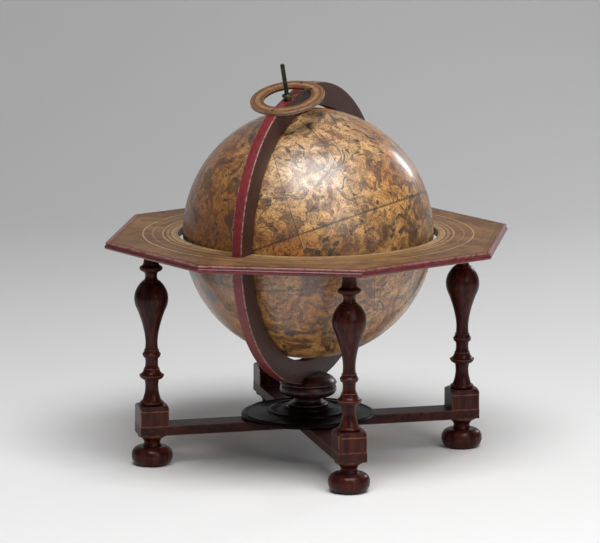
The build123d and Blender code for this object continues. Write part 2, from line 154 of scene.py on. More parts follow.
class Paint:
    """The node tree of one material, built node by node."""

    def __init__(self, name: str) -> None:
        """Make an empty material.

        Args:
            name: The material's name.
        """
        self.material = bpy.data.materials.new(name)
        self.material.use_nodes = True
        self.tree = self.material.node_tree
        self.tree.nodes.clear()

    def node(
        self,
        kind: str,
        settings: dict[str, Any] | None = None,
        values: dict[str | int, Any] | None = None,
    ) -> bpy.types.Node:
        """Add a node, set it, and feed its inputs.

        Args:
            kind: The node's type.
            settings: Its settings, set first; "stops" holds a ramp's (place, colour) pairs.
            values: A value or a Signal for each named or numbered input.

        Returns:
            The node.
        """
        made = self.tree.nodes.new(kind)
        for name, value in (settings or {}).items():
            if name == "stops":
                self._set_stops(made.color_ramp, value)
            else:
                setattr(made, name, value)
        for name, value in (values or {}).items():
            if isinstance(value, Signal):
                self.tree.links.new(value.socket, made.inputs[name])
            else:
                made.inputs[name].default_value = value
        return made

    @staticmethod
    def _set_stops(ramp: bpy.types.ColorRamp, stops: Sequence[tuple[float, Colour]]) -> None:
        """Give a ramp these (place, colour) stops, which run upwards."""
        while len(ramp.elements) < len(stops):
            ramp.elements.new(1.0)
        for element, (place, colour) in zip(ramp.elements, stops):
            element.position = place
            element.color = (*colour, 1.0)

    def maths(self, operation: str, *values: "Signal | float") -> Signal:
        """One Math node on these values."""
        node = self.node("ShaderNodeMath", {"operation": operation}, dict(enumerate(values)))
        return Signal(self, node.outputs[0])

    def vectors(self, operation: str, *values: Any) -> Signal:
        """One Vector Math node; a dot product gives a number."""
        node = self.node("ShaderNodeVectorMath", {"operation": operation}, dict(enumerate(values)))
        return Signal(self, node.outputs["Value" if operation == "DOT_PRODUCT" else "Vector"])

    def place(self) -> Signal:
        """The point's place in the row frame at rest."""
        return Signal(self, self.node("ShaderNodeTexCoord").outputs["Object"])

    def attribute(self, name: str) -> Signal:
        """A number that the mesh carries at each point."""
        return Signal(self, self.node("ShaderNodeAttribute", {"attribute_name": name}).outputs["Fac"])

    def along(self, where: Signal, direction: Sequence[float]) -> Signal:
        """How far the point lies along a direction."""
        return self.vectors("DOT_PRODUCT", where, tuple(direction))

    def noise(
        self, where: Signal, scale: float, detail: float = 3.0, rough: float = 0.55, swirl: float = 0.0
    ) -> Signal:
        """Noise from 0 to 1, with its mean near a half.

        Args:
            where: The place.
            scale: Roughly how many blotches there are to a unit of length.
            detail: How many finer layers are added.
            rough: How strong each finer layer is.
            swirl: How much the noise bends itself.

        Returns:
            The noise at the place.
        """
        node = self.node(
            "ShaderNodeTexNoise",
            {},
            {"Vector": where, "Scale": scale, "Detail": detail, "Roughness": rough, "Distortion": swirl},
        )
        return Signal(self, node.outputs[0])

    def cells(self, where: Signal, scale: float, feature: str = "F1") -> Signal:
        """The distance to the nearest of some scattered points, or to the edge between two of them."""
        node = self.node("ShaderNodeTexVoronoi", {"feature": feature}, {"Vector": where, "Scale": scale})
        return Signal(self, node.outputs["Distance"])

    def pushed(self, where: Signal, scale: float, amount: float) -> Signal:
        """The place pushed about by a slow noise."""
        slow = self.node("ShaderNodeTexNoise", {}, {"Vector": where, "Scale": scale, "Detail": 2.0})
        push = self.node(
            "ShaderNodeVectorMath",
            {"operation": "SCALE"},
            {0: Signal(self, slow.outputs["Color"]), "Scale": amount},
        )
        return self.vectors("ADD", where, Signal(self, push.outputs[0]))

    def stretch(self, where: Signal, scale: Sequence[float], turn_deg: Sequence[float] = (0, 0, 0)) -> Signal:
        """The place turned and scaled, for a pattern that runs one way."""
        node = self.node(
            "ShaderNodeMapping",
            {"vector_type": "POINT"},
            {
                "Vector": where,
                "Rotation": tuple(math.radians(angle) for angle in turn_deg),
                "Scale": tuple(scale),
            },
        )
        return Signal(self, node.outputs[0])

    def mix(self, factor: Signal | float, first: Any, second: Any) -> Signal:
        """A colour between two colours; a colour is a Signal or three numbers."""
        colours = [c if isinstance(c, Signal) else (*c, 1.0) for c in (first, second)]
        node = self.node(
            "ShaderNodeMix",
            {"data_type": "RGBA", "blend_type": "MIX", "clamp_factor": True},
            {0: factor, 6: colours[0], 7: colours[1]},
        )
        return Signal(self, node.outputs[2])

    def ramp(self, value: Signal, *stops: tuple[float, Colour]) -> Signal:
        """The colour at this value on a ramp of (place, colour) stops."""
        return Signal(self, self.node("ShaderNodeValToRGB", {"stops": stops}, {0: value}).outputs[0])

    def bump(self, height: Signal, depth: float) -> Signal:
        """A normal for a surface that rises by depth, in metres, where height is 1."""
        node = self.node("ShaderNodeBump", {}, {"Strength": 1.0, "Distance": depth, "Height": height})
        return Signal(self, node.outputs[0])

    def surface(
        self,
        colour: Any,
        roughness: Signal | float,
        normal: Signal | None = None,
        **others: Signal | float,
    ) -> bpy.types.Material:
        """Close the tree with a Principled shader.

        Args:
            colour: The base colour.
            roughness: Its roughness.
            normal: The bumped normal, if there is one.
            others: Other sockets, with underscores for spaces, such as Coat_Weight.

        Returns:
            The finished material.
        """
        values: dict[str | int, Any] = {"Roughness": roughness}
        values["Base Color"] = colour if isinstance(colour, Signal) else (*colour, 1.0)
        if normal is not None:
            values["Normal"] = normal
        values.update({name.replace("_", " "): value for name, value in others.items()})
        shader = self.node("ShaderNodeBsdfPrincipled", {}, values)
        self.node("ShaderNodeOutputMaterial", {}, {"Surface": Signal(self, shader.outputs[0])})
        return self.material


# Finishes


@dataclass(frozen=True)
class PolishedWood:
    """Stained and polished wood with grain, pores, rubbed arrises and dark quirks."""

    name: str
    dark: Colour
    light: Colour
    worn: Colour
    grain: tuple[float, float, float] = (1.0, 1.0, 0.08)
    turn_deg: tuple[float, float, float] = (0.0, 0.0, 0.0)
    wear: float = 0.5
    gloss: float = 0.34
    coat: float = 0.35
    shine: float = 0.35

    def material(self) -> bpy.types.Material:
        """Build the finish."""
        paint = Paint(self.name)
        where = paint.place()
        along = paint.stretch(where, self.grain, self.turn_deg)
        figure = paint.noise(along, 190, 4, 0.6, 0.6)
        cloud = paint.noise(where, 22, 3, 0.5)
        pores = paint.noise(along, 1100, 2, 0.5).rise(0.60, 0.72)
        colour = paint.mix(figure.rise(0.36, 0.66), self.dark, self.light)
        colour = paint.mix(cloud.rise(0.42, 0.75) * 0.5, colour, self.dark)
        colour = paint.mix(pores * 0.5, colour, tuple(c * 0.35 for c in self.dark))
        rubbed = (paint.attribute("wear") * paint.noise(where, 210, 4, 0.7).rise(0.32, 0.56)).least(1.0)
        colour = paint.mix(rubbed * self.wear, colour, self.worn)
        colour = paint.mix(paint.attribute("quirk") * 0.85, colour, tuple(c * 0.2 for c in self.dark))
        scuffs = paint.noise(where, 420, 5, 0.75).rise(0.62, 0.74)
        colour = paint.mix(scuffs * 0.16, colour, self.worn)
        roughness = figure * 0.12 + (self.gloss - 0.06) + rubbed * 0.15 + scuffs * 0.10 + pores * 0.10
        normal = paint.bump(figure * 0.25 - pores * 0.8 - scuffs * 0.25 + cloud * 2.0, 0.00006)
        return paint.surface(
            colour, roughness, normal,
            Specular_IOR_Level=self.shine, Coat_Weight=self.coat, Coat_Roughness=0.14,
        )


@dataclass(frozen=True)
class RingFinish:
    """The meridian ring: a red rim, brown faces and pale rubbed arrises."""

    polar: PolarFrame
    thickness: float
    inner: float
    outer: float
    rim: Colour = (0.235, 0.030, 0.034)
    rim_dark: Colour = (0.095, 0.010, 0.011)
    face: Colour = (0.042, 0.016, 0.011)
    face_light: Colour = (0.088, 0.036, 0.024)
    pale: Colour = (0.44, 0.25, 0.20)

    def material(self) -> bpy.types.Material:
        """Build the finish."""
        paint = Paint("meridian_ring_finish")
        where = paint.place()
        out = paint.vectors("SUBTRACT", where, tuple(self.polar.centre()))
        across = abs(paint.along(out, self.polar.axis(0)))
        depth = paint.along(out, self.polar.axis(1))
        up = paint.along(out, self.polar.axis(2))
        reach = (depth * depth + up * up) ** 0.5
        turn = paint.maths("ARCTAN2", up, depth)
        side = across - self.thickness / 2
        rim_edge = self.outer - reach
        on_face = side.rise(-0.5 * MM, -0.25 * MM)
        streaks = paint.node("ShaderNodeCombineXYZ", {}, {0: turn * 4.0, 1: reach * 160.0, 2: across * 160.0})
        grain = paint.noise(Signal(paint, streaks.outputs[0]), 6, 5, 0.65, 0.6)
        cloud = paint.noise(where, 30, 4, 0.6)
        scuffs = paint.noise(where, 330, 5, 0.8).rise(0.58, 0.72)
        rim = paint.mix(grain.rise(0.3, 0.7) * 0.7 + cloud * 0.3, self.rim_dark, self.rim)
        rim = paint.mix(scuffs * 0.35, rim, tuple(c * 0.4 for c in self.rim_dark))
        face = paint.mix(grain.rise(0.35, 0.7), self.face, self.face_light)
        face = paint.mix(cloud.rise(0.55, 0.75) * 0.5, face, self.rim_dark)
        scale_lines = (rim_edge - 4.0 * MM).line(0.12 * MM, 0.12 * MM)
        scale_lines = scale_lines.most((rim_edge - 8.0 * MM).line(0.12 * MM, 0.12 * MM))
        degree = ((turn * (360 / math.tau)).fraction() - 0.5) * (self.outer * math.tau / 360)
        marks = degree.line(0.12 * MM, 0.14 * MM) * (rim_edge - 6.0 * MM).line(2.0 * MM, 0.1 * MM)
        tens = ((turn * (36 / math.tau)).fraction() - 0.5) * (self.outer * math.tau / 36)
        marks = marks.most(tens.line(0.18 * MM, 0.15 * MM) * (rim_edge - 7.0 * MM).line(3.4 * MM, 0.1 * MM))
        face = paint.mix(scale_lines.most(marks) * 0.55, face, (0.012, 0.007, 0.006))
        face = paint.mix(scuffs * 0.12, face, self.pale)
        colour = paint.mix(on_face, rim, face)
        arris = side.rise(-1.5 * MM, -0.4 * MM) * (rim_edge * -1.0).rise(-0.9 * MM, -0.15 * MM)
        nicks = arris * paint.noise(where, 240, 4, 0.75).rise(0.36, 0.60)
        colour = paint.mix(nicks * 0.8, colour, self.pale)
        inside = 1.0 - (reach - self.inner).rise(0.0, 0.3 * MM)
        roughness = grain * 0.12 + 0.30 + scuffs * 0.12 + nicks * 0.15 + on_face * 0.14 + inside * 0.3
        relief = grain * 0.4 - scuffs * 0.4 + cloud * 2.0 - scale_lines.most(marks) * 0.6
        coat = (1.0 - on_face.most(inside)) * 0.25
        return paint.surface(
            colour, roughness, paint.bump(relief, 0.00006),
            Specular_IOR_Level=0.35, Coat_Weight=coat, Coat_Roughness=0.20,
        )


@dataclass(frozen=True)
class StarPrint:
    """A hand-coloured, engraved sky under varnish gone brown, with its circles, scales and stars."""

    polar: PolarFrame
    radius: float
    ecliptic_pole: tuple[float, float, float] = (-0.3705, -0.0149, 0.9287)
    first_circle_deg: float = 5.5
    ochre: Colour = (0.56, 0.190, 0.024)
    pale: Colour = (0.84, 0.45, 0.140)
    brown: Colour = (0.095, 0.025, 0.006)
    green: Colour = (0.012, 0.034, 0.022)
    red: Colour = (0.27, 0.055, 0.030)
    ink: Colour = (0.020, 0.010, 0.005)
    # Painted sheen: this pale colour is laid on the upper front side given below.
    painted_sheen: Colour = (0.92, 0.60, 0.30)
    # Painted shade: this darker colour is laid on the left side given below.
    painted_shade: Colour = (0.27, 0.082, 0.007)
    painted_sheen_side: tuple[float, float, float] = (0.32, -0.54, 0.78)
    painted_shade_side: tuple[float, float, float] = (-0.859, -0.512, 0.0)
    figures: tuple[tuple[float, float, float, float], ...] = (
        (7.6, 0.640, 0.012, 95.0),
        (6.4, 0.600, 0.030, 110.0),
        (5.6, 0.575, 0.050, 120.0),
    )

    def _directions(self) -> tuple[Vector, Vector, Vector]:
        """The ecliptic's first point, the point a quarter on, and its pole."""
        pole = Vector(self.ecliptic_pole).normalized()
        node = self.polar.axis(2).cross(pole).normalized()
        first = Matrix.Rotation(math.radians(self.first_circle_deg), 3, pole) @ node
        return first, pole.cross(first), pole

    def _figures(self, paint: Paint, where: Signal) -> tuple[list[Signal], Signal]:
        """The tinted figures of the sky and the engraved lines that draw and shade them.

        Args:
            paint: The material.
            where: The point on a sphere of radius 1.

        Returns:
            Masks of the green, the red and the brown figures, and of all engraved lines.
        """
        bent = paint.pushed(where, 2.6, 1.1)
        masks: list[Signal] = []
        drawn: Signal | None = None
        for scale, edge, soft, rings in self.figures:
            height = paint.noise(bent, scale, 3.0, 0.52, 0.2)
            mask = height.rise(edge - soft, edge + soft)
            outline = (height - edge).line(0.003, 0.006)
            shading = ((height * rings).fraction() - 0.5).line(0.10, 0.16) * mask
            drawn = outline.most(shading) if drawn is None else drawn.most(outline).most(shading)
            masks.append(mask)
        strokes = paint.noise(bent, 13, 2.5, 0.55, 0.4)
        loose = (strokes - 0.5).line(0.005, 0.012) * paint.noise(where, 6, 2, 0.5).rise(0.42, 0.56)
        dashes = paint.noise(bent, 34, 3.0, 0.6, 0.6)
        loose = loose.most((dashes - 0.5).line(0.012, 0.03) * paint.noise(where, 15, 3, 0.6).rise(0.38, 0.52))
        return masks, drawn.most(loose * 0.9)

    def _scales(self, paint: Paint, where: Signal) -> tuple[Signal, Signal]:
        """The great circles with their divisions, and the fainter circles.

        Args:
            paint: The material.
            where: The point on a sphere of radius 1.

        Returns:
            A mask of the dark scales and a mask of the thin circles.
        """
        first, quarter, pole = self._directions()
        latitude = paint.maths("ARCSINE", paint.along(where, pole)) * self.radius
        longitude = paint.maths("ARCTAN2", paint.along(where, quarter), paint.along(where, first))
        declination = paint.maths("ARCSINE", paint.along(where, self.polar.axis(2))) * self.radius
        ascension = paint.maths(
            "ARCTAN2", paint.along(where, self.polar.axis(1)), paint.along(where, self.polar.axis(0))
        )
        steps = (longitude * (180 / math.tau)).fraction() - 0.5
        ladder = steps.rise(-0.03, 0.03) * 0.35 + 0.65
        dark = latitude.line(0.40 * MM, 0.2 * MM) * ladder
        dark = dark.most((abs(latitude) - 0.75 * MM).line(0.10 * MM, 0.14 * MM) * 0.8)
        near_pole = paint.along(where, pole)
        twelfths = ((longitude * (12 / math.tau) + 0.5).fraction() - 0.5) * (math.tau / 12 * self.radius)
        width = (1.0 - near_pole * near_pole).most(0.0001) ** 0.5
        seams = (twelfths * width).line(0.20 * MM, 0.22 * MM)
        notch = (((longitude * (72 / math.tau)).fraction() - 0.5) * (math.tau / 72 * self.radius)).line(
            0.25 * MM, 0.2 * MM
        )
        dark = dark.most(notch * (latitude - 1.2 * MM).line(1.1 * MM, 0.2 * MM) * 0.8)
        degrees = (ascension * (180 / math.tau)).fraction() - 0.5
        equator = declination.line(0.28 * MM, 0.2 * MM) * (degrees.rise(-0.03, 0.03) * 0.7 + 0.3)
        equator = equator.most((abs(declination) - 0.8 * MM).line(0.09 * MM, 0.12 * MM))
        thin = equator
        dashes = (ascension * 30.0).fraction().line(0.6, 0.05)
        for angle in (23.5, 66.5):
            height = math.radians(angle) * self.radius
            thin = thin.most((abs(declination) - height).line(0.12 * MM, 0.14 * MM) * dashes * 0.7)
        return dark, thin.most(seams)

    def _stars(self, paint: Paint, where: Signal) -> tuple[Signal, Signal]:
        """Dark engraved stars and pale gilt ones, of a few sizes."""
        stars: Signal | None = None
        for scale, size in ((13.0, 0.085), (21.0, 0.075), (9.0, 0.070)):
            far = paint.cells(where, scale)
            body = 1.0 - far.rise(size * 0.55, size)
            stars = body if stars is None else stars.most(body)
        gilt = 1.0 - paint.cells(where, 6.5).rise(0.045, 0.06)
        return stars, gilt

    def _paper(self, paint: Paint, where: Signal, mottle: Signal) -> Signal:
        """The paper, lighter or darker from gore to gore, with a painted sheen on its upper front side and
        painted shade on its left side.
        """
        first, quarter, _ = self._directions()
        longitude = paint.maths("ARCTAN2", paint.along(where, quarter), paint.along(where, first))
        gore = paint.maths("FLOOR", longitude * (12 / math.tau) + 6.5)
        tone = paint.maths("SINE", gore * 2.4) * 0.5 + 0.5
        cloud = paint.noise(where, 1.7, 4, 0.6, 0.4)
        colour = paint.mix(cloud.rise(0.38, 0.58) * 0.85 + tone * 0.15, self.ochre, self.pale)
        # Painted sheen: paler on the upper front side, where the key lamp's reflection falls.
        painted_sheen = paint.along(where, self.painted_sheen_side).rise(0.70, 0.99)
        colour = paint.mix(painted_sheen * 0.75, colour, self.painted_sheen)
        # Painted shade: darker on the left side, away from the key lamp.
        painted_shade = paint.along(where, self.painted_shade_side).rise(0.25, 0.85)
        colour = paint.mix(painted_shade * 0.72, colour, self.painted_shade)
        toned = mottle.rise(0.40, 0.66) * 0.65
        colour = paint.mix(toned, colour, tuple(c * 0.45 for c in self.ochre))
        stains = paint.noise(where, 3.4, 5, 0.68, 0.6).rise(0.48, 0.68)
        return paint.mix(stains * 0.65, colour, self.brown)

    def material(self) -> bpy.types.Material:
        """Build the finish."""
        paint = Paint("star_print")
        out = paint.vectors("SUBTRACT", paint.place(), tuple(self.polar.centre()))
        where = paint.vectors("NORMALIZE", out)
        (green, red, brown), lines = self._figures(paint, where)
        dark, thin = self._scales(paint, where)
        stars, gilt = self._stars(paint, where)
        mottle = paint.noise(where, 11, 6, 0.72, 0.5)
        speck = paint.noise(where, 85, 4, 0.75)
        colour = self._paper(paint, where, mottle)
        colour = paint.mix(brown * (speck * 0.4 + 0.36), colour, self.brown)
        colour = paint.mix(red * mottle.rise(0.35, 0.6) * 0.45, colour, self.red)
        colour = paint.mix(green * (speck * 0.4 + 0.62), colour, self.green)
        colour = paint.mix(gilt * 0.5, colour, self.pale)
        colour = paint.mix(lines * (speck.rise(0.28, 0.55) * 0.40 + 0.52), colour, self.ink)
        colour = paint.mix(stars * 0.7, colour, self.ink)
        colour = paint.mix(thin * (speck.rise(0.3, 0.55) * 0.30 + 0.62), colour, self.ink)
        colour = paint.mix(dark * 0.9, colour, self.ink)
        foxing = paint.noise(where, 26, 5, 0.78, 0.4).rise(0.50, 0.70)
        colour = paint.mix(foxing * 0.55, colour, self.brown)
        colour = paint.mix(speck.rise(0.51, 0.66) * 0.70, colour, self.ink)
        grazes = paint.noise(where, 42, 6, 0.8, 0.2).rise(0.60, 0.70)
        colour = paint.mix(grazes * 0.60, colour, self.pale)
        cracks = paint.cells(where, 24, "DISTANCE_TO_EDGE")
        cracked = (1.0 - cracks.rise(0.006, 0.016)) * paint.noise(where, 5, 3, 0.6).rise(0.50, 0.66)
        colour = paint.mix(cracked * 0.40, colour, self.ink)
        roughness = mottle * 0.16 + 0.33 + grazes * 0.20 + foxing * 0.06
        relief = mottle * 0.9 + speck * 0.22 - lines * 0.10 - cracked * 0.15
        normal = paint.bump(relief + paint.noise(where, 2.4) * 5.0 + paint.noise(where, 7.0) * 1.6, 0.00026)
        return paint.surface(
            colour, roughness, normal,
            Specular_IOR_Level=1.0, Coat_Weight=0.55, Coat_Roughness=0.20, Coat_IOR=1.6,
        )


@dataclass(frozen=True)
class DialPrint:
    """An engraved sheet gone brown, with concentric circles and ticks round one axis."""

    name: str
    centre: tuple[float, float, float]
    across: tuple[float, float, float]
    upright: tuple[float, float, float]
    circles: tuple[float, ...]
    ticks: tuple[tuple[int, float, float], ...]
    bands: tuple[tuple[float, float, float], ...]
    paper: Colour = (0.240, 0.120, 0.048)
    pale: Colour = (0.54, 0.36, 0.17)
    stain: Colour = (0.060, 0.024, 0.013)
    ink: Colour = (0.020, 0.010, 0.006)
    border: tuple[float, ...] = ()
    gloss: float = 0.50

    def _border(self, left: Signal, deep: Signal) -> Signal:
        """Lines that run along the sides of the octagon, at the distances in border.

        Args:
            left: How far the point lies across the sheet.
            deep: How far it lies up the sheet.

        Returns:
            A mask of the lines.
        """
        reach: Signal | None = None
        for k in range(4):
            turn = math.radians(22.5 + 45 * k)
            side = abs(left * math.cos(turn) + deep * math.sin(turn))
            reach = side if reach is None else reach.most(side)
        mask = (reach - self.border[0]).line(0.16 * MM, 0.14 * MM)
        for distance in self.border[1:]:
            mask = mask.most((reach - distance).line(0.16 * MM, 0.14 * MM))
        return mask

    def material(self) -> bpy.types.Material:
        """Build the finish."""
        paint = Paint(self.name)
        where = paint.place()
        out = paint.vectors("SUBTRACT", where, self.centre)
        left, deep = paint.along(out, self.across), paint.along(out, self.upright)
        reach = (left * left + deep * deep) ** 0.5
        turn = paint.maths("ARCTAN2", deep, left) / math.tau
        cloud = paint.noise(where, 18, 5, 0.65, 0.5)
        mottle = paint.noise(where, 75, 5, 0.75, 0.3)
        speck = paint.noise(where, 600, 3, 0.7)
        toned = tuple(0.6 * c + 0.4 * p for c, p in zip(self.stain, self.paper))
        colour = paint.mix(cloud.rise(0.36, 0.68), self.paper, toned)
        for inner, outer, strength in self.bands:
            band = reach.rise(inner, inner + 0.4 * MM) * (1.0 - reach.rise(outer - 0.4 * MM, outer))
            colour = paint.mix(band * strength * mottle.rise(0.25, 0.6), colour, self.pale)
        ink: Signal | None = None
        for circle in self.circles:
            ring = (reach - circle).line(0.11 * MM, 0.13 * MM)
            ink = ring if ink is None else ink.most(ring)
        for count, inner, outer in self.ticks:
            middle, half = (inner + outer) / 2, (outer - inner) / 2
            tick = (((turn * float(count)).fraction() - 0.5) * (math.tau / count)) * reach
            ink = ink.most(tick.line(0.11 * MM, 0.12 * MM) * (reach - middle).line(half, 0.05 * MM))
        if self.border:
            ink = ink.most(self._border(left, deep))
        colour = paint.mix(ink * (mottle.rise(0.3, 0.6) * 0.35 + 0.45), colour, self.ink)
        colour = paint.mix(mottle.rise(0.48, 0.70) * 0.65, colour, self.stain)
        colour = paint.mix(speck.rise(0.60, 0.75) * 0.35, colour, self.ink)
        worn = paint.noise(where, 150, 5, 0.8).rise(0.62, 0.72)
        colour = paint.mix(worn * 0.35, colour, self.pale)
        roughness = mottle * 0.18 + (self.gloss - 0.06) + worn * 0.15
        normal = paint.bump(cloud * 2.0 + mottle * 0.8 - worn * 0.3, 0.00009)
        return paint.surface(
            colour, roughness, normal, Specular_IOR_Level=0.3, Coat_Weight=0.06, Coat_Roughness=0.22
        )


@dataclass(frozen=True)
class OldMetal:
    """Hand-worked metal with a dull skin, brighter where it is rubbed."""

    name: str
    skin: Colour
    bright: Colour
    roughness: float = 0.42

    def material(self) -> bpy.types.Material:
        """Build the finish."""
        paint = Paint(self.name)
        where = paint.place()
        patch = paint.noise(where, 260, 4, 0.7)
        pits = paint.noise(where, 1500, 3, 0.7).rise(0.58, 0.70)
        colour = paint.mix(patch.rise(0.42, 0.66), self.skin, self.bright)
        colour = paint.mix(pits * 0.6, colour, tuple(c * 0.3 for c in self.skin))
        metallic = patch.rise(0.3, 0.6) * 0.35 + 0.6
        rough = patch * 0.2 + (self.roughness - 0.1) + pits * 0.2
        return paint.surface(colour, rough, paint.bump(patch - pits, 0.00005), Metallic=metallic)


# Meshes


def trace(start: tuple[float, float], cuts: Iterable[Cut]) -> list[tuple[float, float]]:
    """Points along an outline of cuts.

    Args:
        start: The first (radius, height) point.
        cuts: One point is a straight cut, two are an arc through the first, more are a smooth curve.

    Returns:
        The points, with each arc and curve divided finely.
    """
    points = [start]
    for cut in cuts:
        here = points[-1]
        if len(cut) == 1:
            points.append(cut[0])
        elif len(cut) == 2:
            points.extend(arc_points(here, cut[0], cut[1], 9))
        else:
            points.extend(curve_points([here, *cut], 7))
    return points


def arc_points(
    first: tuple[float, float], through: tuple[float, float], last: tuple[float, float], count: int
) -> list[tuple[float, float]]:
    """Points on the arc through three points.

    Args:
        first: Where the arc starts; it isn't among the points.
        through: A point that it passes.
        last: Where it ends.
        count: How many points to give.

    Returns:
        The points, the last one included.
    """
    a, b, c = (complex(*p) for p in (first, through, last))
    w = (c - a) / (b - a)
    if abs(w.imag) < 1e-9:
        return [last]
    centre = (b - a) * (w - abs(w) ** 2) / (2j * w.imag) + a
    radius = abs(a - centre)
    begin = math.atan2((a - centre).imag, (a - centre).real)
    sweep = math.atan2((c - centre).imag, (c - centre).real) - begin
    middle = math.atan2((b - centre).imag, (b - centre).real) - begin
    sweep %= math.tau
    if middle % math.tau > sweep:
        sweep -= math.tau
    angles = [begin + sweep * (k + 1) / count for k in range(count)]
    return [(centre.real + radius * math.cos(t), centre.imag + radius * math.sin(t)) for t in angles]


def curve_points(through: Sequence[tuple[float, float]], count: int) -> list[tuple[float, float]]:
    """Points on a smooth curve through some points.

    Args:
        through: The points that it passes; the first isn't given again.
        count: How many points to give for each span between two of them.

    Returns:
        The points, the last one included.
    """
    known = np.array(through, float)
    reach = np.concatenate([[0], np.cumsum(np.linalg.norm(np.diff(known, axis=0), axis=1))])
    slopes = np.gradient(known, reach, axis=0, edge_order=1)
    made = []
    for k in range(len(known) - 1):
        span = reach[k + 1] - reach[k]
        for step in range(1, count + 1):
            t = step / count
            point = (
                (2 * t**3 - 3 * t**2 + 1) * known[k]
                + (t**3 - 2 * t**2 + t) * span * slopes[k]
                + (-2 * t**3 + 3 * t**2) * known[k + 1]
                + (t**3 - t**2) * span * slopes[k + 1]
            )
            made.append((float(point[0]), float(point[1])))
    return made


# How strongly each point of a rounded corner stands out, and the least turn that counts as a corner
CORNER_SHARES = (0.0, 0.45, 0.85, 1.0, 0.85, 0.45, 0.0)
SHARP_TURN_DEG = 20


def eased(points: Sequence[tuple[float, float]], size: float) -> tuple[np.ndarray, np.ndarray, np.ndarray]:
    """Round each sharp corner of an outline, as years of rubbing do.

    Args:
        points: The outline, from the bottom up with the material on its left.
        size: How far from a corner the rounding starts.

    Returns:
        The new points, and at each point how far it stands out and how deep it lies, from 0 to 1.
    """
    known = [np.array(points[0], float)]
    for point in points[1:]:
        if np.hypot(*(np.array(point) - known[-1])) > 1e-6:
            known.append(np.array(point, float))
    made, out, deep = [known[0]], [0.0], [0.0]
    for before, here, after in zip(known, known[1:], known[2:]):
        into, away = here - before, after - here
        turn = math.atan2(into[0] * away[1] - into[1] * away[0], float(into @ away))
        if abs(turn) < math.radians(SHARP_TURN_DEG):
            made.append(here)
            out.append(0.0)
            deep.append(0.0)
            continue
        long_in, long_out = float(np.hypot(*into)), float(np.hypot(*away))
        cut = min(size, 0.3 * long_in, 0.3 * long_out)
        begin, end = here - into / long_in * cut, here + away / long_out * cut
        made.append(here - into / long_in * min(3 * cut, 0.48 * long_in))
        for t in (0.0, 0.25, 0.5, 0.75, 1.0):
            made.append((1 - t) ** 2 * begin + 2 * t * (1 - t) * here + t**2 * end)
        made.append(here + away / long_out * min(3 * cut, 0.48 * long_out))
        out.extend(share if turn > 0 else 0.0 for share in CORNER_SHARES)
        deep.extend(share if turn < 0 else 0.0 for share in CORNER_SHARES)
    made.append(known[-1])
    out.append(0.0)
    deep.append(0.0)
    return np.array(made), np.array(out), np.array(deep)


def mesh_object(
    name: str,
    points: np.ndarray,
    faces: Sequence[Sequence[int]],
    numbers: dict[str, np.ndarray] | None = None,
    sharp_deg: float = 50.0,
) -> bpy.types.Object:
    """A smooth-shaded mesh object at the origin.

    Args:
        name: The object's name.
        points: Its points, in metres in the row frame.
        faces: Its faces, as lists of point numbers.
        numbers: Values at each point, by attribute name.
        sharp_deg: Edges that turn by more than this stay sharp.

    Returns:
        The object, linked to the scene.
    """
    mesh = bpy.data.meshes.new(name)
    mesh.from_pydata([tuple(map(float, p)) for p in points], [], [list(map(int, f)) for f in faces])
    mesh.validate()
    for attribute, values in (numbers or {}).items():
        mesh.attributes.new(attribute, "FLOAT", "POINT").data.foreach_set("value", values.astype(np.float32))
    mesh.shade_smooth()
    mesh.set_sharp_from_angle(angle=math.radians(sharp_deg))
    made = bpy.data.objects.new(name, mesh)
    bpy.context.scene.collection.objects.link(made)
    return made


def plain_mesh(made: bpy.types.Object) -> bpy.types.Object:
    """Turn an object with modifiers into a plain mesh object of the same name."""
    evaluated = made.evaluated_get(bpy.context.evaluated_depsgraph_get())
    mesh = bpy.data.meshes.new_from_object(evaluated)
    made.modifiers.clear()
    made.data = mesh
    return made


def dress(node: str, material: bpy.types.Material) -> None:
    """Give a CAD node a better material."""
    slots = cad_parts[node].data.materials
    slots.clear()
    slots.append(material)


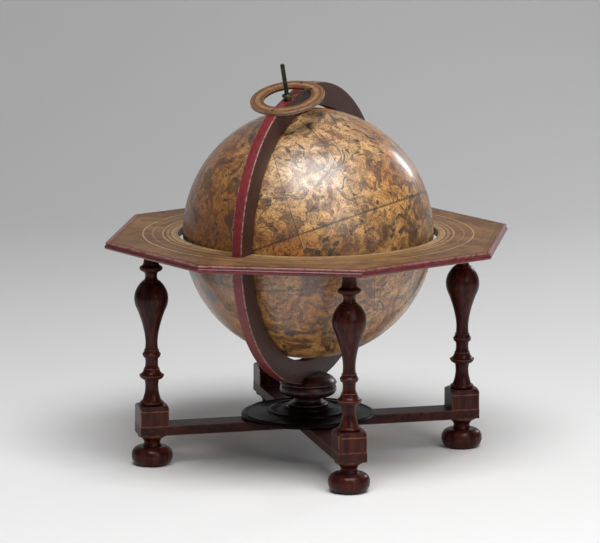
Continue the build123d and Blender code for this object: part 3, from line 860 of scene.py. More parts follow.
@dataclass
class Turning:
    """A turned piece: an outline swung about an upright axis.

    Up to square_top it is cut to a square, if square, half the square's width, isn't zero.
    """

    name: str
    start: tuple[float, float]
    cuts: list[Cut]
    segments: int = 96
    ease: float = 0.35
    square: float = 0.0
    square_top: float = 0.0
    square_round: float = 0.8
    square_wear_depth: float = 0.6
    square_extra_deg: tuple[float, ...] = (0.8, 1.7, 2.6)

    def _limit(self, angle: np.ndarray) -> np.ndarray:
        """The distance to a square with eased corners, at each angle, in millimetres."""
        half, round_r = self.square, self.square_round
        folded = np.abs((angle + math.pi / 4) % (math.pi / 2) - math.pi / 4)
        flat = half / np.cos(folded)
        corner = half - round_r
        along = corner * np.cos(folded) + corner * np.sin(folded)
        inside = np.maximum(along**2 - (2 * corner**2 - round_r**2), 0)
        curved = along + np.sqrt(inside)
        return np.where(half * np.tan(folded) > corner, curved, flat)

    def _angles(self) -> np.ndarray:
        """The angles of the segments, closer together near a square's corners."""
        even = np.arange(self.segments) * math.tau / self.segments
        if not self.square:
            return even
        offsets = [sign * extra for extra in self.square_extra_deg for sign in (-1, 1)]
        near = [math.radians(45 + 90 * k + offset) for k in range(4) for offset in offsets]
        return np.unique(np.round(np.concatenate([even, near]) % math.tau, 9))

    def build(self) -> bpy.types.Object:
        """Make the piece upright on the axis, with its wear and quirk values."""
        outline, out, deep = eased(trace(self.start, self.cuts), self.ease)
        angles = self._angles()
        count, rows = len(angles), len(outline)
        radii = np.repeat(outline[:, :1], count, axis=1)
        wear = np.repeat(out[:, None], count, axis=1)
        if self.square:
            limit = self._limit(angles)[None, :]
            low = outline[:, 1:2] <= self.square_top + 1e-6
            off = math.pi / 4 - np.abs((angles + math.pi / 4) % (math.pi / 2) - math.pi / 4)
            edge = np.clip(1 - off / math.radians(self.square_extra_deg[-1]), 0, 1)[None, :]
            at_edge = low & (radii >= limit - self.square_wear_depth)
            wear = np.where(at_edge, np.maximum(wear, edge), wear)
            radii = np.where(low, np.minimum(radii, limit), radii)
        points = np.stack(
            [
                radii * np.cos(angles)[None, :],
                radii * np.sin(angles)[None, :],
                np.repeat(outline[:, 1:2], count, axis=1),
            ],
            axis=-1,
        ).reshape(-1, 3) * MM
        faces: list[list[int]] = []
        for row in range(rows - 1):
            low, high = row * count, (row + 1) * count
            for k in range(count):
                n = (k + 1) % count
                faces.append([low + k, low + n, high + n, high + k])
        numbers = {"wear": wear.reshape(-1), "quirk": np.repeat(deep, count)}
        made = mesh_object(self.name, points, faces, numbers)
        close_axis(made)
        return made


def close_axis(made: bpy.types.Object) -> None:
    """Merge the points that meet on a turned piece's axis, and point its faces outwards."""
    work = bmesh.new()
    work.from_mesh(made.data)
    bmesh.ops.remove_doubles(work, verts=work.verts, dist=1e-6)
    bmesh.ops.dissolve_degenerate(work, edges=work.edges, dist=1e-7)
    bmesh.ops.recalc_face_normals(work, faces=work.faces)
    work.to_mesh(made.data)
    work.free()


# Geometry Nodes


class NodeGroup:
    """A Geometry Nodes tree, built node by node, with named inputs."""

    def __init__(self, name: str) -> None:
        """Start a tree that ends in Realize Instances and Set Material."""
        self.tree = bpy.data.node_groups.new(name, "GeometryNodeTree")
        self.tree.interface.new_socket("Geometry", in_out="OUTPUT", socket_type="NodeSocketGeometry")
        self.entry = self.tree.nodes.new("NodeGroupInput")

    def take(self, name: str, kind: str) -> str:
        """Add a named input and give its identifier."""
        return self.tree.interface.new_socket(name, in_out="INPUT", socket_type=kind).identifier

    def entry_socket(self, name: str) -> bpy.types.NodeSocket:
        """The group's own input with this name."""
        return self.entry.outputs[name]

    def node(
        self, kind: str, settings: dict[str, Any] | None = None, values: dict[str | int, Any] | None = None
    ) -> bpy.types.Node:
        """Add a node, set it, and feed its inputs with sockets or values."""
        made = self.tree.nodes.new(kind)
        for name, value in (settings or {}).items():
            setattr(made, name, value)
        for name, value in (values or {}).items():
            if isinstance(value, bpy.types.NodeSocket):
                self.tree.links.new(value, made.inputs[name])
            else:
                made.inputs[name].default_value = value
        return made

    def finish(self, geometry: bpy.types.NodeSocket, material: bpy.types.NodeSocket) -> None:
        """Close the tree with Realize Instances and Set Material."""
        real = self.node("GeometryNodeRealizeInstances", {}, {"Geometry": geometry})
        painted = self.node(
            "GeometryNodeSetMaterial", {}, {"Geometry": real.outputs[0], "Material": material}
        )
        leave = self.tree.nodes.new("NodeGroupOutput")
        self.tree.links.new(painted.outputs[0], leave.inputs[0])


@dataclass
class RoundAbout:
    """Copies of one piece set out on a circle about an upright axis, each turned to face outwards."""

    name: str
    count: int
    radius: float
    first_deg: float

    def build(self, pattern: bpy.types.Object, material: bpy.types.Material) -> bpy.types.Object:
        """Repeat the pattern piece.

        Args:
            pattern: The piece, built on the axis; it is removed afterwards.
            material: The finish of the copies.

        Returns:
            One plain mesh object with every copy.
        """
        group = NodeGroup(self.name + "_tree")
        inputs = {
            "Piece": ("NodeSocketObject", pattern),
            "Count": ("NodeSocketInt", self.count),
            "Radius": ("NodeSocketFloat", self.radius),
            "First Angle": ("NodeSocketFloat", math.radians(self.first_deg)),
            "Material": ("NodeSocketMaterial", material),
        }
        keys = {name: group.take(name, kind) for name, (kind, _) in inputs.items()}
        entry = group.entry_socket
        points = group.node("GeometryNodePoints", {}, {"Count": entry("Count")})
        number = group.node("GeometryNodeInputIndex")
        step = group.node("ShaderNodeMath", {"operation": "DIVIDE"}, {0: math.tau, 1: entry("Count")})
        turned = group.node(
            "ShaderNodeMath",
            {"operation": "MULTIPLY_ADD"},
            {0: number.outputs[0], 1: step.outputs[0], 2: entry("First Angle")},
        )
        spin = group.node("ShaderNodeCombineXYZ", {}, {2: turned.outputs[0]})
        reach = group.node("ShaderNodeCombineXYZ", {}, {0: entry("Radius")})
        place = group.node(
            "ShaderNodeVectorRotate",
            {"rotation_type": "Z_AXIS"},
            {"Vector": reach.outputs[0], "Angle": turned.outputs[0]},
        )
        moved = group.node(
            "GeometryNodeSetPosition", {}, {"Geometry": points.outputs[0], "Position": place.outputs[0]}
        )
        piece = group.node(
            "GeometryNodeObjectInfo", {"transform_space": "ORIGINAL"}, {"Object": entry("Piece")}
        )
        copies = group.node(
            "GeometryNodeInstanceOnPoints",
            {},
            {
                "Points": moved.outputs[0],
                "Instance": piece.outputs["Geometry"],
                "Rotation": spin.outputs[0],
            },
        )
        group.finish(copies.outputs[0], entry("Material"))
        made = bpy.data.objects.new(self.name, bpy.data.meshes.new(self.name))
        bpy.context.scene.collection.objects.link(made)
        modifier = made.modifiers.new("copies", "NODES")
        modifier.node_group = group.tree
        for name, (_, value) in inputs.items():
            modifier[keys[name]] = value
        plain_mesh(made)
        bpy.data.objects.remove(pattern)
        return made


# Sub-assemblies


def share(cuts: Iterable[Cut], radius: float, bottom: float, height: float) -> list[Cut]:
    """Cuts given as shares of a radius and a height, turned into millimetres."""
    return [[(radius * across, bottom + height * up) for across, up in cut] for cut in cuts]


class Body(Enum):
    """The body that a piece moves with."""

    STAND = "stand"
    MERIDIAN = "meridian"
    GLOBE = "globe"
    INDEX = "index"


class Slot(Enum):
    """The part's material slot that a piece belongs to."""

    PRINT = "globe_print"
    IRON = "iron"
    BRASS = "index_brass"
    RED = "red_wood"
    HOUR = "hour_wood"
    PAPER = "printed_paper"
    LEG = "leg_wood"
    BLACK = "black_wood"


def install(made: bpy.types.Object, body: Body, slot: Slot, *nodes: str) -> None:
    """Let a piece stand in for CAD nodes.

    Args:
        made: The piece.
        body: What it moves with.
        slot: Its material slot; not used.
        nodes: The nodes that it replaces.
    """
    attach(made, body.value)
    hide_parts(*nodes)


@dataclass
class Globe:
    """The printed ball with its pins."""

    radius: float = 115.0
    hole: float = 7.0
    wall: float = 4.5
    pin: float = 2.0
    pin_top: float = 170.0
    pin_point: float = 0.8
    pin_foot: float = 84.5
    rows: int = 160
    pieces: list[bpy.types.Object] = field(default_factory=list)

    def _ball(self) -> bpy.types.Object:
        """The ball, open at its poles, with the walls of its holes."""
        end = math.acos(self.hole / self.radius)
        angles = np.linspace(-end, end, self.rows)
        cuts: list[Cut] = [
            [(self.radius * math.cos(a), self.radius * math.sin(a))] for a in angles
        ]
        rise = (self.radius - self.wall) * math.sin(end)
        cuts.append([(self.hole, rise)])
        return Turning("printed_globe", (self.hole, -rise), cuts, segments=240, ease=0.25).build()

    def _pin(self) -> bpy.types.Object:
        """The north pin, from inside the block to its bevelled tip."""
        tip = self.pin_top
        cuts: list[Cut] = [
            [(self.pin, self.pin_foot)],
            [(self.pin, tip - self.pin_point)],
            [(self.pin - self.pin_point / 2, tip)],
            [(0, tip)],
        ]
        return Turning("north_pin", (0, self.pin_foot), cuts, segments=32, ease=0.2).build()

    def build(self, polar: PolarFrame) -> None:
        """Make and dress the globe's pieces."""
        ball = self._ball()
        ball.data.transform(polar.matrix())
        ball.data.materials.append(StarPrint(polar, self.radius * MM).material())
        install(ball, Body.GLOBE, Slot.PRINT, "globe_north_half", "globe_south_half")
        pin = self._pin()
        pin.data.transform(polar.matrix())
        iron = OldMetal("dark_iron", (0.022, 0.020, 0.016), (0.085, 0.080, 0.066), 0.40).material()
        pin.data.materials.append(iron)
        install(pin, Body.GLOBE, Slot.IRON, "north_pivot_pin")
        dress("south_pivot_pin", iron)
        block = PolishedWood("pole_block_wood", (0.12, 0.06, 0.03), (0.24, 0.14, 0.07), (0.4, 0.26, 0.14))
        core = block.material()
        for node in ("north_end_block", "south_end_block", "core_rod"):
            dress(node, core)
        self.pieces = [ball, pin]


@dataclass
class Meridian:
    """The ring with the hour circle nailed to it."""

    inner: float = 117.5
    width: float = 21.5
    thick: float = 10.5
    hour_radius: float = 34.0
    hour_hole: float = 22.0
    hour_thick: float = 3.0
    paper: float = 0.3
    paper_inset: float = 0.35
    paper_hole_inset: float = 0.1
    edge: float = 0.7
    nail_inset: float = 4.8
    nail_head: float = 1.5
    nail_dome: float = 0.6
    pieces: list[bpy.types.Object] = field(default_factory=list)

    def seat(self) -> float:
        """How far the hour circle's seat is from the globe's centre, in millimetres."""
        return math.sqrt((self.inner + self.width) ** 2 - self.hour_radius**2)

    def _ring(self, finish: bpy.types.Material) -> bpy.types.Object:
        """The ring as a swept section, planed flat under the hour circle."""
        group = NodeGroup("meridian_ring_tree")
        outer = self.inner + self.width
        inputs = {
            "Mean Radius": ("NodeSocketFloat", (self.inner + outer) / 2 * MM),
            "Width": ("NodeSocketFloat", self.width * MM),
            "Thickness": ("NodeSocketFloat", self.thick * MM),
            "Eased Edge": ("NodeSocketFloat", self.edge * MM),
            "Seat Height": ("NodeSocketFloat", self.seat() * MM),
            "Seat Half Length": ("NodeSocketFloat", self.hour_radius * MM),
            "Material": ("NodeSocketMaterial", finish),
        }
        keys = {name: group.take(name, kind) for name, (kind, _) in inputs.items()}
        entry = group.entry_socket
        path = group.node(
            "GeometryNodeCurvePrimitiveCircle",
            {"mode": "RADIUS"},
            {"Resolution": 480, "Radius": entry("Mean Radius")},
        )
        section = group.node(
            "GeometryNodeCurvePrimitiveQuadrilateral",
            {"mode": "RECTANGLE"},
            {"Width": entry("Width"), "Height": entry("Thickness")},
        )
        rounded = group.node(
            "GeometryNodeFilletCurve",
            {"mode": "POLY"},
            {"Curve": section.outputs[0], "Count": 3, "Radius": entry("Eased Edge"), "Limit Radius": True},
        )
        swept = group.node(
            "GeometryNodeCurveToMesh", {}, {"Curve": path.outputs[0], "Profile Curve": rounded.outputs[0]}
        )
        upright = group.node(
            "GeometryNodeTransform", {}, {"Geometry": swept.outputs[0], "Rotation": (0.0, math.pi / 2, 0.0)}
        )
        here = group.node("GeometryNodeInputPosition")
        parts = group.node("ShaderNodeSeparateXYZ", {}, {0: here.outputs[0]})
        planed = group.node(
            "ShaderNodeMath", {"operation": "MINIMUM"}, {0: parts.outputs[2], 1: entry("Seat Height")}
        )
        flat = group.node(
            "ShaderNodeCombineXYZ", {}, {0: parts.outputs[0], 1: parts.outputs[1], 2: planed.outputs[0]}
        )
        size = group.node("ShaderNodeMath", {"operation": "ABSOLUTE"}, {0: parts.outputs[1]})
        near = group.node(
            "FunctionNodeCompare",
            {"data_type": "FLOAT", "operation": "LESS_THAN"},
            {0: size.outputs[0], 1: entry("Seat Half Length")},
        )
        seated = group.node(
            "GeometryNodeSetPosition",
            {},
            {"Geometry": upright.outputs[0], "Selection": near.outputs[0], "Position": flat.outputs[0]},
        )
        smooth = group.node(
            "GeometryNodeSetShadeSmooth", {}, {"Geometry": seated.outputs[0], "Shade Smooth": True}
        )
        group.finish(smooth.outputs[0], entry("Material"))
        made = bpy.data.objects.new("meridian_ring_dressed", bpy.data.meshes.new("meridian_ring_dressed"))
        bpy.context.scene.collection.objects.link(made)
        modifier = made.modifiers.new("ring", "NODES")
        modifier.node_group = group.tree
        for name, (_, value) in inputs.items():
            modifier[keys[name]] = value
        plain_mesh(made)
        close_axis(made)
        made.data.set_sharp_from_angle(angle=math.radians(50))
        return made

    def _hour_circle(self) -> tuple[bpy.types.Object, bpy.types.Object]:
        """The wooden circle and the printed sheet on it."""
        low = self.seat()
        top = low + self.hour_thick
        wood_cuts: list[Cut] = [
            [(self.hour_radius, low)],
            [(self.hour_radius, top)],
            [(self.hour_hole, top)],
            [(self.hour_hole, low)],
        ]
        wood = Turning("hour_circle_wood", (self.hour_hole, low), wood_cuts, segments=160, ease=0.45).build()
        sheet_r, sheet_hole = self.hour_radius - self.paper_inset, self.hour_hole + self.paper_hole_inset
        sheet_cuts: list[Cut] = [
            [(sheet_r, top)],
            [(sheet_r, top + self.paper)],
            [(sheet_hole, top + self.paper)],
            [(sheet_hole, top)],
        ]
        sheet = Turning("hour_circle_sheet", (sheet_hole, top), sheet_cuts, segments=160, ease=0.1)
        return wood, sheet.build()

    def _nails(self, iron: bpy.types.Material) -> bpy.types.Object:
        """The two domed nail heads."""
        base = self.seat() + self.hour_thick + self.paper
        dome = share([[(1, 0.25)], [(2 / 3, 0.8), (0, 1)]], self.nail_head, base, self.nail_dome)
        head = Turning("nail_head", (self.nail_head, base), dome, segments=20, ease=0.08).build()
        place = RoundAbout("hour_circle_nail_heads", 2, (self.hour_radius - self.nail_inset) * MM, 90)
        return place.build(head, iron)

    def build(self, polar: PolarFrame) -> None:
        """Make and dress the ring, the hour circle and the nails."""
        outer = self.inner + self.width
        finish = RingFinish(polar, self.thick * MM, self.inner * MM, outer * MM).material()
        ring = self._ring(finish)
        wood, sheet = self._hour_circle()
        iron = OldMetal("nail_iron", (0.030, 0.022, 0.016), (0.11, 0.09, 0.07), 0.5).material()
        nails = self._nails(iron)
        plain = PolishedWood(
            "hour_circle_wood_finish", (0.105, 0.042, 0.022), (0.23, 0.105, 0.052), (0.50, 0.34, 0.21),
            grain=(1.0, 0.1, 1.0), wear=0.75, gloss=0.42,
        )
        wood.data.materials.append(plain.material())
        sheet.data.materials.append(self._dial(polar))
        for made, node, slot in (
            (ring, "meridian_ring", Slot.RED),
            (wood, "hour_circle", Slot.HOUR),
            (sheet, "hour_circle_paper", Slot.PAPER),
            (nails, "hour_circle_nails", Slot.IRON),
        ):
            made.data.transform(polar.matrix())
            install(made, Body.MERIDIAN, slot, node)
        self.pieces = [ring, wood, sheet, nails]

    def _dial(self, polar: PolarFrame) -> bpy.types.Material:
        """The hour scale: twice twelve hours, with quarters."""
        return DialPrint(
            "hour_scale_print",
            tuple(polar.centre()),
            tuple(polar.axis(0)),
            tuple(polar.axis(1)),
            circles=tuple(r * MM for r in (22.9, 25.0, 29.6, 31.4, 32.9)),
            ticks=((24, 25.0 * MM, 31.4 * MM), (96, 29.6 * MM, 31.4 * MM), (12, 22.9 * MM, 25.0 * MM)),
            bands=((25.0 * MM, 29.6 * MM, 0.5), (31.4 * MM, 32.9 * MM, 0.35)),
            paper=(0.21, 0.085, 0.032),
            pale=(0.52, 0.32, 0.15),
            stain=(0.070, 0.022, 0.010),
            gloss=0.42,
        ).material()


@dataclass
class Index:
    """The hand and its collar on the pin."""

    bottom: float = 138.478
    thick: float = 1.1
    length: float = 25.0
    turn_deg: float = 48.0
    collar: float = 3.6
    neck: float = 2.9
    head: float = 1.0
    bore: float = 2.05
    foot: float = 135.178
    filed: float = 0.18
    pieces: list[bpy.types.Object] = field(default_factory=list)

    def _collar(self) -> bpy.types.Object:
        """The collar, with the riveted head over the hand."""
        top = self.bottom + self.thick
        cuts: list[Cut] = [
            [(self.collar, self.foot)],
            [(self.collar, self.bottom)],
            [(self.neck, self.bottom)],
            [(self.neck, top)],
            [(self.collar, top)],
            [(self.neck, top + self.head)],
            [(self.bore, top + self.head)],
            [(self.bore, self.foot)],
        ]
        return Turning("index_collar_dressed", (self.bore, self.foot), cuts, segments=48, ease=0.25).build()

    def _hand(self) -> bpy.types.Object:
        """The hand: an eye, a tapered arm and an arrow point, with filed edges."""
        eye = self.collar + self.thick
        root, tip = self.thick * 1.3, self.thick * 0.7
        arrow = self.length * 0.8
        start = math.asin(root / eye)
        arc = np.linspace(start, math.tau - start, 40)
        outline = [(eye * math.cos(a), eye * math.sin(a)) for a in arc]
        outline += [(arrow, -tip), (arrow, -2.2 * tip), (self.length, 0), (arrow, 2.2 * tip), (arrow, tip)]
        points = [(x, y, self.bottom + up) for up in (0, self.thick) for x, y in outline]
        count = len(outline)
        faces = [[k, (k + 1) % count, count + (k + 1) % count, count + k] for k in range(count)]
        faces += [list(range(count))[::-1], list(range(count, 2 * count))]
        made = mesh_object("index_hand_dressed", np.array(points) * MM, faces, sharp_deg=40)
        bevel = made.modifiers.new("filed", "BEVEL")
        bevel.width = self.filed * MM
        bevel.segments = 2
        bevel.limit_method = "ANGLE"
        plain_mesh(made)
        made.data.transform(Matrix.Rotation(math.radians(self.turn_deg), 4, "Z"))
        return made

    def build(self, polar: PolarFrame) -> None:
        """Make and dress the index."""
        metal = OldMetal("index_brass_finish", (0.045, 0.040, 0.018), (0.17, 0.145, 0.062), 0.42).material()
        collar, hand = self._collar(), self._hand()
        for made, node in ((collar, "index_collar"), (hand, "index_hand")):
            made.data.transform(polar.matrix())
            made.data.materials.append(metal)
            install(made, Body.INDEX, Slot.BRASS, node)
        self.pieces = [collar, hand]


@dataclass
class Horizon:
    """The octagonal board with its print and its moulding."""

    flat: float = 172.0
    bottom: float = 202.0
    height: float = 7.0
    moulding: float = 4.2
    moulding_ease: float = 0.22
    sides: int = 8
    pieces: list[bpy.types.Object] = field(default_factory=list)

    def _at(self, across: float, up: float) -> tuple[float, float]:
        """A point of the moulding's section, from shares of its width and height."""
        return self.flat + across * self.moulding, self.bottom + up * self.height

    def _moulding_length(self) -> bpy.types.Object:
        """One mitred length of moulding along the side that faces +X."""
        outline = trace(
            self._at(0, 0),
            [
                [self._at(0.40, 0)],
                [self._at(1, 0.33), self._at(0.72, 0.60)],
                [self._at(0.62, 0.60)],
                [self._at(0.62, 0.67)],
                [self._at(0.80, 0.82), self._at(0.45, 0.97)],
                [self._at(0.12, 0.97)],
                [self._at(0, 0.90)],
            ],
        )
        section, out, deep = eased(outline, self.moulding_ease)
        stations = np.linspace(-1, 1, 25)
        slope = math.tan(math.pi / self.sides)
        count = len(section)
        points = [(x, share_along * x * slope, z) for share_along in stations for x, z in section]
        faces: list[list[int]] = []
        for row in range(len(stations) - 1):
            for k in range(count - 1):
                a, b = row * count + k, (row + 1) * count + k
                faces.append([a, b, b + 1, a + 1])
        faces.append(list(range(count))[::-1])
        faces.append([(len(stations) - 1) * count + k for k in range(count)])
        numbers = {"wear": np.tile(out, len(stations)), "quirk": np.tile(deep, len(stations))}
        made = mesh_object("moulding_length", np.array(points) * MM, faces, numbers, sharp_deg=60)
        close_axis(made)
        return made

    def build(self) -> None:
        """Make the moulding, and dress the boards and the sheet."""
        red = PolishedWood(
            "moulding_red", (0.090, 0.010, 0.011), (0.170, 0.020, 0.021), (0.60, 0.30, 0.25),
            grain=(1.0, 1.0, 1.0), wear=0.65, gloss=0.34, coat=0.35,
        ).material()
        run = RoundAbout("horizon_moulding", self.sides, 0.0, 180 / self.sides)
        moulding = run.build(self._moulding_length(), red)
        install(moulding, Body.STAND, Slot.RED, *[f"edge_moulding_{k + 1}" for k in range(self.sides)])
        board = PolishedWood(
            "board_wood_finish", (0.060, 0.024, 0.016), (0.130, 0.058, 0.038), (0.25, 0.14, 0.09),
            grain=(1.0, 0.08, 1.0), gloss=0.5, coat=0.1,
        ).material()
        for k in range(self.sides):
            dress(f"horizon_segment_{k + 1}", board)
        dress("horizon_tongues", board)
        dress("horizon_paper", self._sheet())
        self.pieces = [moulding]

    def _sheet(self) -> bpy.types.Material:
        """The horizon's print: degrees, signs, days and winds as plain circles and divisions."""
        return DialPrint(
            "horizon_print",
            (0.0, 0.0, 0.0),
            (1.0, 0.0, 0.0),
            (0.0, 1.0, 0.0),
            circles=tuple(
                r * MM for r in (120.4, 123.4, 126.0, 132.2, 134.6, 141.5, 144.0, 150.5, 152.6, 160.5)
            ),
            ticks=(
                (360, 120.4 * MM, 123.4 * MM),
                (72, 120.4 * MM, 126.0 * MM),
                (12, 126.0 * MM, 134.6 * MM),
                (360, 132.2 * MM, 134.6 * MM),
                (365, 141.5 * MM, 144.0 * MM),
                (12, 134.6 * MM, 144.0 * MM),
                (32, 144.0 * MM, 152.6 * MM),
            ),
            bands=(
                (119.0 * MM, 120.3 * MM, 0.9),
                (120.4 * MM, 126.0 * MM, 0.85),
                (127.4 * MM, 130.2 * MM, 0.45),
                (132.2 * MM, 134.6 * MM, 0.80),
                (141.5 * MM, 144.0 * MM, 0.40),
                (150.5 * MM, 152.6 * MM, 0.85),
            ),
            border=(168.6 * MM, 169.8 * MM),
        ).material()


# Shares of the vase's radius, and of the stem's height above the block
STEM_CUTS: list[Cut] = [
    [(0.615, 0)],
    [(0.700, 0.012), (0.615, 0.024)],
    [(0.564, 0.024)],
    [(0.423, 0.076), (0.385, 0.125), (0.423, 0.160)],
    [(0.481, 0.161)],
    [(0.654, 0.172), (0.731, 0.190)],
    [(0.538, 0.207), (0.462, 0.232)],
    [(0.410, 0.235)],
    [(0.372, 0.267), (0.397, 0.300)],
    [(0.449, 0.301)],
    [(0.519, 0.312), (0.538, 0.326)],
    [(0.455, 0.338), (0.436, 0.353)],
    [(0.378, 0.356)],
    [(0.359, 0.396), (0.462, 0.483), (0.763, 0.589), (0.962, 0.643), (1, 0.678),
     (0.923, 0.723), (0.718, 0.763), (0.506, 0.789)],
    [(0.442, 0.789)],
    [(0.346, 0.817), (0.474, 0.850)],
    [(0.590, 0.853)],
    [(0.660, 0.861), (0.673, 0.875)],
    [(0.474, 0.892)],
    [(0.417, 0.944), (0.500, 1)],
]

# Shares of the bun's radius, and of the foot's height
FOOT_CUTS: list[Cut] = [
    [(0.751, 0)],
    [(0.937, 0.129), (1, 0.343)],
    [(0.910, 0.507), (0.603, 0.607)],
    [(0.497, 0.607)],
    [(0.444, 0.643)],
    [(0.392, 0.736), (0.471, 0.843), (0.667, 0.943)],
]
FOOT_COLLAR_START = 0.943

# Shares of the way out from the seat's edge to the rim, and of the disc's height
DISC_CUTS: list[Cut] = [
    [(0.964, 0)],
    [(1, 0.16), (0.970, 0.34)],
    [(0.934, 0.34)],
    [(0.909, 0.44), (0.878, 0.36)],
    [(0.645, 0.40), (0.416, 0.56)],
    [(0.378, 0.72), (0.327, 0.62)],
    [(0.137, 0.66), (0.036, 0.82)],
    [(0, 1), (-0.056, 1)],
]

# Shares of the bobbin's radius, and of the pedestal's height above the disc
PEDESTAL_CUTS: list[Cut] = [
    [(0.654, 0)],
    [(0.692, 0.043), (0.646, 0.085)],
    [(0.494, 0.178), (0.700, 0.339)],
    [(0.985, 0.481), (0.939, 0.687)],
    [(0.916, 0.709)],
    [(1, 0.723)],
    [(1, 0.758)],
    [(0.848, 0.915), (0.589, 1)],
    [(0, 1)],
]


@dataclass
class Stand:
    """The legs, the feet, the crossed stretchers, the disc and the pedestal."""

    circle: float = 147.6
    legs: int = 4
    vase: float = 15.6
    bar_top: float = 37.3
    block_height: float = 18.8
    block_width: float = 26.5
    stem_height: float = 145.9
    foot_height: float = 28.6
    foot_radius: float = 18.9
    disc_radius: float = 62.0
    disc_seat: float = 22.6
    disc_height: float = 10.4
    pedestal_radius: float = 26.3
    pedestal_height: float = 28.95
    slot_radius: float = 139.35
    slot_width: float = 11.2
    bar_ease: float = 0.5
    bar_end: tuple[float, float] = (0.86, 0.62)
    pieces: list[bpy.types.Object] = field(default_factory=list)

    def _leg(self) -> bpy.types.Object:
        """One leg on the axis: the block with its rounded shoulder, and the turned stem."""
        corner = self.block_width / math.sqrt(2)
        block_top = self.bar_top + self.block_height
        cuts = share(
            [[(1.05, 0)], [(1.05, 0.75)], [(0.915, 0.935), (0.685, 1)]],
            corner, self.bar_top, self.block_height,
        )
        cuts += share(STEM_CUTS, self.vase, block_top, self.stem_height)
        cuts.append([(0, block_top + self.stem_height)])
        return Turning(
            "leg_pattern", (0, self.bar_top), cuts,
            segments=52, square=self.block_width / 2, square_top=block_top - 0.01,
        ).build()

    def _foot(self) -> bpy.types.Object:
        """One bun foot on the axis."""
        cuts = share(FOOT_CUTS, self.foot_radius, 0, self.foot_height)
        collar = self.block_width / 2
        cuts.append([(collar, FOOT_COLLAR_START * self.foot_height)])
        cuts += [[(collar, self.foot_height)], [(0, self.foot_height)]]
        return Turning("foot_pattern", (0, 0), cuts, segments=84).build()

    def _bar(self, name: str, spans: Sequence[tuple[float, float]], turn_deg: float) -> bpy.types.Object:
        """A stretcher, or its two arms, with rubbed edges.

        Args:
            name: The object's name.
            spans: Where each arm begins and ends along the bar, in millimetres.
            turn_deg: How far the bar is turned from +X.

        Returns:
            The object.
        """
        half, low, high = self.block_width / 2, self.foot_height, self.bar_top
        square = [(half, low), (half, high), (-half, high), (-half, low)]
        middle = (low + high) / 2
        start = (half, middle)
        section, out, _ = eased([start, *square[1:], square[0], start], self.bar_ease)
        section, out = section[:-1], out[:-1]
        count = len(section)
        points, faces, wear = [], [], []
        for begin, end in spans:
            stations = np.linspace(begin, end, 40)
            base = len(points)
            for x in stations:
                points.extend((x, y, z) for y, z in section)
                wear.extend(out)
            for row in range(len(stations) - 1):
                for k in range(count):
                    n = (k + 1) % count
                    a, b = base + row * count, base + (row + 1) * count
                    faces.append([a + k, a + n, b + n, b + k])
            for x, row, step in ((begin, 0, -1), (end, len(stations) - 1, 1)):
                inner = len(points)
                across, up = self.bar_end
                points.extend((x, y * across, middle + (z - middle) * up) for y, z in section)
                wear.extend([0.0] * count)
                for k in range(count):
                    n = (k + 1) % count
                    face = [base + row * count + k, base + row * count + n, inner + n, inner + k]
                    faces.append(face[::step])
                faces.append([inner + k for k in range(count)][::step])
        made = mesh_object(name, np.array(points) * MM, faces, {"wear": np.array(wear)}, sharp_deg=40)
        close_axis(made)
        made.data.transform(Matrix.Rotation(math.radians(turn_deg), 4, "Z"))
        return made

    def _disc(self) -> bpy.types.Object:
        """The turned disc with its reeded rim and dished top."""
        dish = self.disc_radius - self.disc_seat
        cuts = [
            [(self.disc_seat + across, up) for across, up in cut]
            for cut in share(DISC_CUTS, dish, self.bar_top, self.disc_height)
        ]
        cuts.append([(0, self.bar_top + self.disc_height)])
        return Turning("base_disc_dressed", (0, self.bar_top), cuts, segments=180, ease=0.3).build()

    def _pedestal(self, polar: PolarFrame) -> bpy.types.Object:
        """The bobbin, with the ring's slot cut out of it."""
        base = self.bar_top + self.disc_height
        cuts = share(PEDESTAL_CUTS, self.pedestal_radius, base, self.pedestal_height)
        made = Turning("pedestal_dressed", (0, base), cuts, segments=144, ease=0.35).build()
        half = self.slot_width / 2
        wheel = Turning(
            "slot_wheel", (0, -half), [[(self.slot_radius, -half)], [(self.slot_radius, half)], [(0, half)]],
            segments=720, ease=0.01,
        ).build()
        turn = Matrix.Rotation(math.radians(polar.turn_deg), 4, "Z") @ Matrix.Rotation(math.pi / 2, 4, "Y")
        wheel.data.transform(Matrix.Translation(polar.centre()) @ turn)
        cut = made.modifiers.new("slot", "BOOLEAN")
        cut.operation, cut.solver, cut.object = "DIFFERENCE", "EXACT", wheel
        plain_mesh(made)
        bpy.data.objects.remove(wheel)
        made.data.shade_smooth()
        made.data.set_sharp_from_angle(angle=math.radians(50))
        return made

